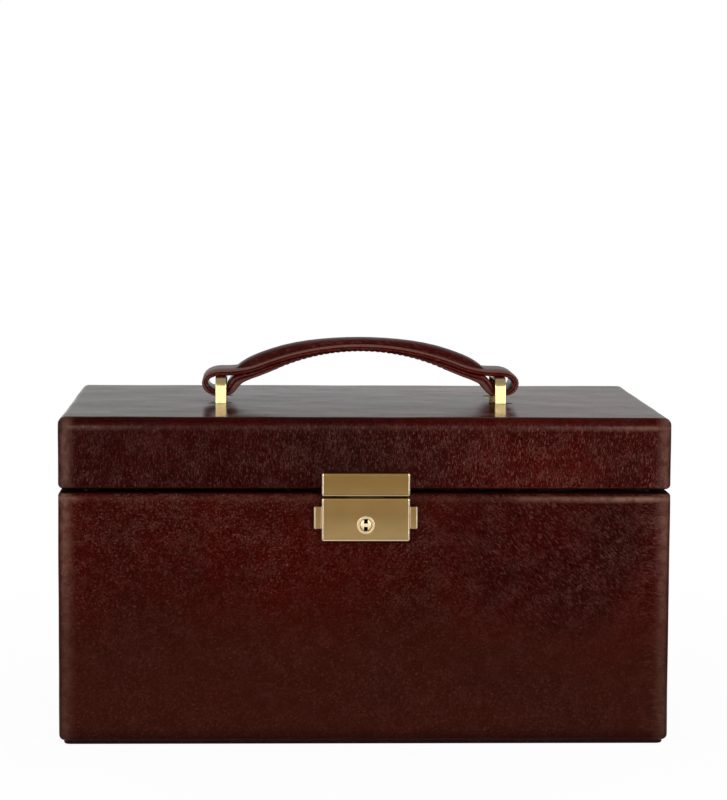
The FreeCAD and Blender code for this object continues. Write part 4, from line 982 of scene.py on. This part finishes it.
# boards wrapped in suede: soft edges and a nap that lies a little unevenly
wrapSpec = {"edge": 0.7 * mm, "edgeShare": 0.3, "steps": 3, "grid": 11 * mm, "uneven": 0.25 * mm, "reach": 0.02}
wrapped = {
    "case": [("floor_lining", "floorSuede"), ("lower_divider_long", "longDivider"),
             ("lower_cross_dividers", "crossDividers"), ("tray_ledges", "trayLedges")],
    "lid": [("lid_panel", "lidPanel"), ("mirror_surround", "mirrorSurround")],
    "tray": [("tray_floor", "trayFloor"), ("tray_front_wall", "trayFront"), ("tray_back_wall", "trayBack"),
             ("tray_left_wall", "trayLeft"), ("tray_right_wall", "trayRight"), ("tray_main_divider", "trayDivider"),
             ("tray_row_divider", "trayRow"), ("tray_short_dividers", "trayShorts")],
}


def wrapBoard(node, name, body, spec):
    low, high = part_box(node)
    piece = copyNode(node, name)
    bpy.ops.mesh.dissolve_limited(angle_limit=math.radians(2))
    letGo()
    soft = min(spec["edge"], min(high - low) * spec["edgeShare"])
    useTool(piece, "BEVEL", width=soft, segments=spec["steps"], limit_method="ANGLE", angle_limit=math.radians(40))
    gridLines(piece, low, high, spec["grid"])
    uneven(piece, spec["reach"], spec["uneven"], 1.0)
    dress(piece, tanSuede, body, "suede", node)


# ring rolls: stuffed suede bars side by side, blown up one time and copied
rollSpec = {"count": 8, "gap": 0.4 * mm, "tuck": 0.9 * mm, "round": 7.4 * mm, "end": 2.2 * mm, "voxel": 2.6 * mm,
            "pressure": 4.0, "frames": 20, "cap": 0.9 * mm, "floor": 0.1 * mm, "grid": 4 * mm}


def puffUp(piece, spec, floorZ):
    piece.data.remesh_voxel_size = spec["voxel"]
    hold(piece)
    bpy.ops.object.voxel_remesh()
    start = [point.co.copy() for point in piece.data.vertices]
    tool = piece.modifiers.new("puff", "CLOTH")
    tool.settings.use_pressure = True
    tool.settings.uniform_pressure_force = spec["pressure"]
    tool.settings.effector_weights.gravity = 0
    for step in range(1, spec["frames"] + 1):
        bpy.context.scene.frame_set(step)
    apply(piece, tool)
    bpy.context.scene.frame_set(1)
    for point, was in zip(piece.data.vertices, start):
        move = point.co - was
        if move.length > spec["cap"]:
            point.co = was + move.normalized() * spec["cap"]
        point.co.z = max(point.co.z, floorZ)  # lies flat on the tray


def makeRingRolls(spec):
    low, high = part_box("ring_rolls")
    pitch = (high.y - low.y + spec["gap"]) / spec["count"]
    tuck = spec["tuck"]
    first = Vector((low.x + tuck, low.y + tuck, low.z))
    last = Vector((high.x - tuck, low.y + pitch - spec["gap"] - tuck, high.z - tuck))
    roll = startBox("ringRoll", first, last)
    pickEdges(roll, lambda a, b: abs(a.x - b.x) > 50 * mm and a.z > last.z - 1 * mm)
    roundOff(spec["round"], 6)
    pickFaces(roll, lambda c, n: abs(n.x) > 0.9)
    roundOff(spec["end"], 4)
    gridLines(roll, first, last, spec["grid"], (0, 2))
    puffUp(roll, spec, low.z + spec["floor"])
    useTool(roll, "SUBSURF", levels=1, render_levels=1)
    rolls = [roll]
    for i in range(1, spec["count"]):
        twin = copyOf(roll, "ringRoll")
        twin.location.y = pitch * i
        settle(twin)
        rolls.append(twin)
    padding = joinAll("ringRolls", rolls)
    dress(padding, tanSuede, "tray", "suede", "ring_rolls", angle=60)


# pull tabs: a strip of leather folded over and glued inside the tray wall
tabSpec = {"thick": 1.2 * mm, "fold": 0.45 * mm, "corner": 2.5 * mm, "inset": 0.05 * mm, "edge": 0.22 * mm,
           "grid": 2 * mm, "waist": 0.1}


def makePullTabs(spec):
    low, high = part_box("pull_tabs")
    tabs = []
    for side in (-1, 1):
        outer = high.y - spec["inset"]
        inner = high.y - spec["thick"]
        near, far = (inner, outer) if side > 0 else (-outer, -inner)
        tab = startBox("pullTab", (low.x, near, low.z), (high.x, far, high.z))
        pickEdges(tab, lambda a, b: abs(a.y - b.y) > 0.5 * mm and a.z < low.z + 1 * mm)
        roundOff(spec["corner"], 5)
        pickEdges(tab, lambda a, b: abs(a.x - b.x) > 5 * mm and a.z > high.z - 1 * mm)
        roundOff(spec["fold"], 4)
        pickEdges(tab, lambda a, b: abs(a.y - b.y) < 0.01 * mm and abs(a.x - b.x) < 5 * mm)
        roundOff(spec["edge"], 2)
        gridLines(tab, low, high, spec["grid"], (2,))
        letGo()
        for point in tab.data.vertices:  # waisted a little where fingers pull
            rise = (point.co.z - low.z) / (high.z - low.z)
            point.co.x *= 1 - spec["waist"] * math.sin(math.pi * rise) ** 2
        facesOut(tab)
        tabs.append(tab)
    pulls = joinAll("pullTabs", tabs)
    dress(pulls, handleHide, "tray", "handle_leather", "pull_tabs", angle=40)


def makeSpring(name):
    node = "ear_spring_" + name
    coil = copyNode(node, name + "EarSpring")
    dress(coil, zincSteel, "case", "steel", node)
    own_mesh(coil)


makeLining("body_lining", "bodyLining", "case", liningSpec)
makeLining("lid_lining", "lidLining", "lid", liningSpec)
for body, boards in wrapped.items():
    for node, name in boards:
        wrapBoard(node, name, body, wrapSpec)
print("suede laid in")
makeRingRolls(rollSpec)
makePullTabs(tabSpec)
print("rolls and tabs made")
makeSpring("left")
makeSpring("right")
print("springs set in")

# looks of the pieces that keep their CAD shape
nodeLooks = {"brass_satin": satinBrass, "brass_polished": polishedBrass, "brass_hardware": plainBrass,
             "steel": zincSteel, "board": board, "foam": foam, "mirror_glass": mirrorGlass}
slotOf = {part["node"]: part["material_slot"] for part in frame["record"]["subparts"]}
ownLooks = {"hasp_tongue": blackedBrass, "lock_plug": keyBrass, "lock_bezel": ringBrass}
for name, node in frame["nodes"].items():
    if not node.hide_render:
        node.data.materials.clear()
        node.data.materials.append(ownLooks.get(name, nodeLooks[slotOf[name]]))


# floor, lamps and camera

def mixShaders(surface, share, first, second):
    mix = addNode(surface.id_data, "MixShader", {"Fac": share, 1: first, 2: second})
    feed(surface, mix.outputs["Shader"])


floorSpec = {"tone": 0.8, "shadeShare": 0.05, "clearFrom": 0.28, "clearTo": 0.6}


def makeFloor(spec):  # white to the camera but for a faint shadow, and white in reflections
    letGo()
    bpy.ops.mesh.primitive_plane_add(size=60)
    floor = bpy.context.object
    floor.name = "floor"
    look = bpy.data.materials.new("paleFloor")
    tree, surface = bareTree(look, "OutputMaterial")
    matte = addNode(tree, "BsdfDiffuse", {"Color": (spec["tone"],) * 3})
    glow = addNode(tree, "Emission")
    path = addNode(tree, "LightPath").outputs
    reach = addNode(tree, "VectorMath", {0: addNode(tree, "TexCoord").outputs["Object"]}, operation="LENGTH")
    away = between(reach.outputs["Value"], spec["clearFrom"], spec["clearTo"], 1 - spec["shadeShare"], 1.0)
    white = times(path["Is Camera Ray"], away)
    mirrored = larger(path["Is Glossy Ray"], path["Is Transmission Ray"])
    mixShaders(surface, larger(white, mirrored), matte.outputs["BSDF"], glow.outputs["Emission"])
    floor.data.materials.append(look)


# dark cloth on the floor round the case, seen only in reflections
flagSpec = {"outer": 3.1, "band": 1.33, "lift": 0.003, "tone": 0.16}


def makeFlag(spec):
    letGo()
    bpy.ops.mesh.primitive_plane_add(size=spec["outer"], location=(0, 0, spec["lift"]))
    flag = bpy.context.object
    flag.name = "darkFlag"
    pickFaces(flag, everyFace)
    bpy.ops.mesh.inset(thickness=spec["band"])
    bpy.ops.mesh.delete(type="FACE")
    letGo()
    look = bpy.data.materials.new("darkCloth")
    tree, surface = bareTree(look, "OutputMaterial")
    cloth = addNode(tree, "BsdfPrincipled", {
        "Base Color": (spec["tone"],) * 3, "Roughness": 1.0, "Specular IOR Level": 0.0})
    gone = addNode(tree, "BsdfTransparent")
    inMirror = addNode(tree, "LightPath").outputs["Is Singular Ray"]  # the lid's mirror doesn't show it
    mixShaders(surface, inMirror, cloth.outputs["BSDF"], gone.outputs["BSDF"])
    flag.data.materials.append(look)
    flag.visible_camera = flag.visible_diffuse = flag.visible_shadow = flag.visible_transmission = False


# even grey light, with pale walls that show only in reflections
worldSpec = {"fill": 0.34, "backHeight": (0.1, 0.3, 0.31, 0.0), "back": (-0.1, 0.3),
             "frontHeight": (0.3, 0.42, 0.95, 0.0), "front": (-0.75, -0.55, 1.0, 0.0),
             "sideHeight": (0.3, 0.5, 0.9, 0.0), "side": (0.62, 0.82)}


def makeWorld(spec):
    world = bpy.context.scene.world = bpy.data.worlds.new("studio")
    tree, surface = bareTree(world, "OutputWorld")
    fill = addNode(tree, "Background", {"Color": (spec["fill"],) * 3})
    white = addNode(tree, "Background", {"Color": (1, 1, 1)})
    path = addNode(tree, "LightPath").outputs
    where = addNode(tree, "TexCoord").outputs["Generated"]
    aside, ahead, height = sizeOf(where, "X"), axisOf(where, "Y"), axisOf(where, "Z")
    walls = []
    for name, way in (("back", ahead), ("front", ahead), ("side", aside)):
        walls.append(times(between(height, *spec[name + "Height"]), between(way, *spec[name])))
    backdrop = times(larger(larger(walls[0], walls[1]), walls[2]), path["Is Glossy Ray"])
    clear = larger(path["Is Camera Ray"], path["Is Transmission Ray"])
    mixShaders(surface, larger(clear, backdrop), fill.outputs["Background"], white.outputs["Background"])


lampAim = Vector((0, 0, 0.09))
lampSpecs = [
    {"name": "leftBox", "spot": (-0.95, -1.45, 0.62), "size": (0.5, 1.2), "power": 12.9},
    {"name": "rightBox", "spot": (0.95, -1.45, 0.62), "size": (0.5, 1.2), "power": 12.1},
    {"name": "lowStrip", "spot": (0.0, -2.3, 0.27), "size": (1.6, 0.12), "power": 2.2},
    {"name": "highStrip", "spot": (0.0, -2.0, 0.8), "size": (1.6, 0.3), "power": 3.5},
    {"name": "backLeft", "spot": (-0.95, 1.45, 0.75), "size": (0.5, 1.2), "power": 10.0, "gloss": False},
    {"name": "backRight", "spot": (0.95, 1.45, 0.75), "size": (0.5, 1.2), "power": 10.0, "gloss": False},
    {"name": "topBox", "spot": (0.0, 0.0, 1.7), "size": (1.2, 1.2), "power": 9.0, "gloss": False},
]


def makeLamp(spec):
    lamp = bpy.data.lights.new(spec["name"], "AREA")
    lamp.shape = "RECTANGLE"
    lamp.size, lamp.size_y = spec["size"]
    lamp.energy = spec["power"]
    holder = bpy.data.objects.new(spec["name"], lamp)
    bpy.context.scene.collection.objects.link(holder)
    holder.location = spec["spot"]
    holder.visible_glossy = spec.get("gloss", True)
    holder.rotation_euler = (lampAim - Vector(spec["spot"])).to_track_quat("-Z", "Y").to_euler()


cameraSpec = {"spot": (-0.04693, -1.37621, 0.27359), "yaw": 2.0343, "pitch": 5.0875, "roll": 0.3169, "lens": 128.0}


def makeCamera(spec):
    yaw, pitch, roll = (math.radians(spec[k]) for k in ("yaw", "pitch", "roll"))
    ahead = Vector((math.sin(yaw) * math.cos(pitch), math.cos(yaw) * math.cos(pitch), -math.sin(pitch)))
    right = Vector((math.cos(yaw), -math.sin(yaw), 0))
    up = right.cross(ahead)
    side = math.cos(roll) * right + math.sin(roll) * up
    above = -math.sin(roll) * right + math.cos(roll) * up
    eye = bpy.data.cameras.new("photoCamera")
    eye.lens = spec["lens"]
    eye.sensor_width = 36
    eye.clip_end = 100
    holder = bpy.data.objects.new("photoCamera", eye)
    bpy.context.scene.collection.objects.link(holder)
    turn = Matrix((side, above, -ahead)).transposed().to_4x4()
    holder.matrix_world = Matrix.Translation(spec["spot"]) @ turn
    bpy.context.scene.camera = holder


makeFloor(floorSpec)
makeFlag(flagSpec)
makeWorld(worldSpec)
for lampSpec in lampSpecs:
    makeLamp(lampSpec)
makeCamera(cameraSpec)
bpy.context.scene.view_settings.view_transform = "Standard"
print("stage set")

letGo()
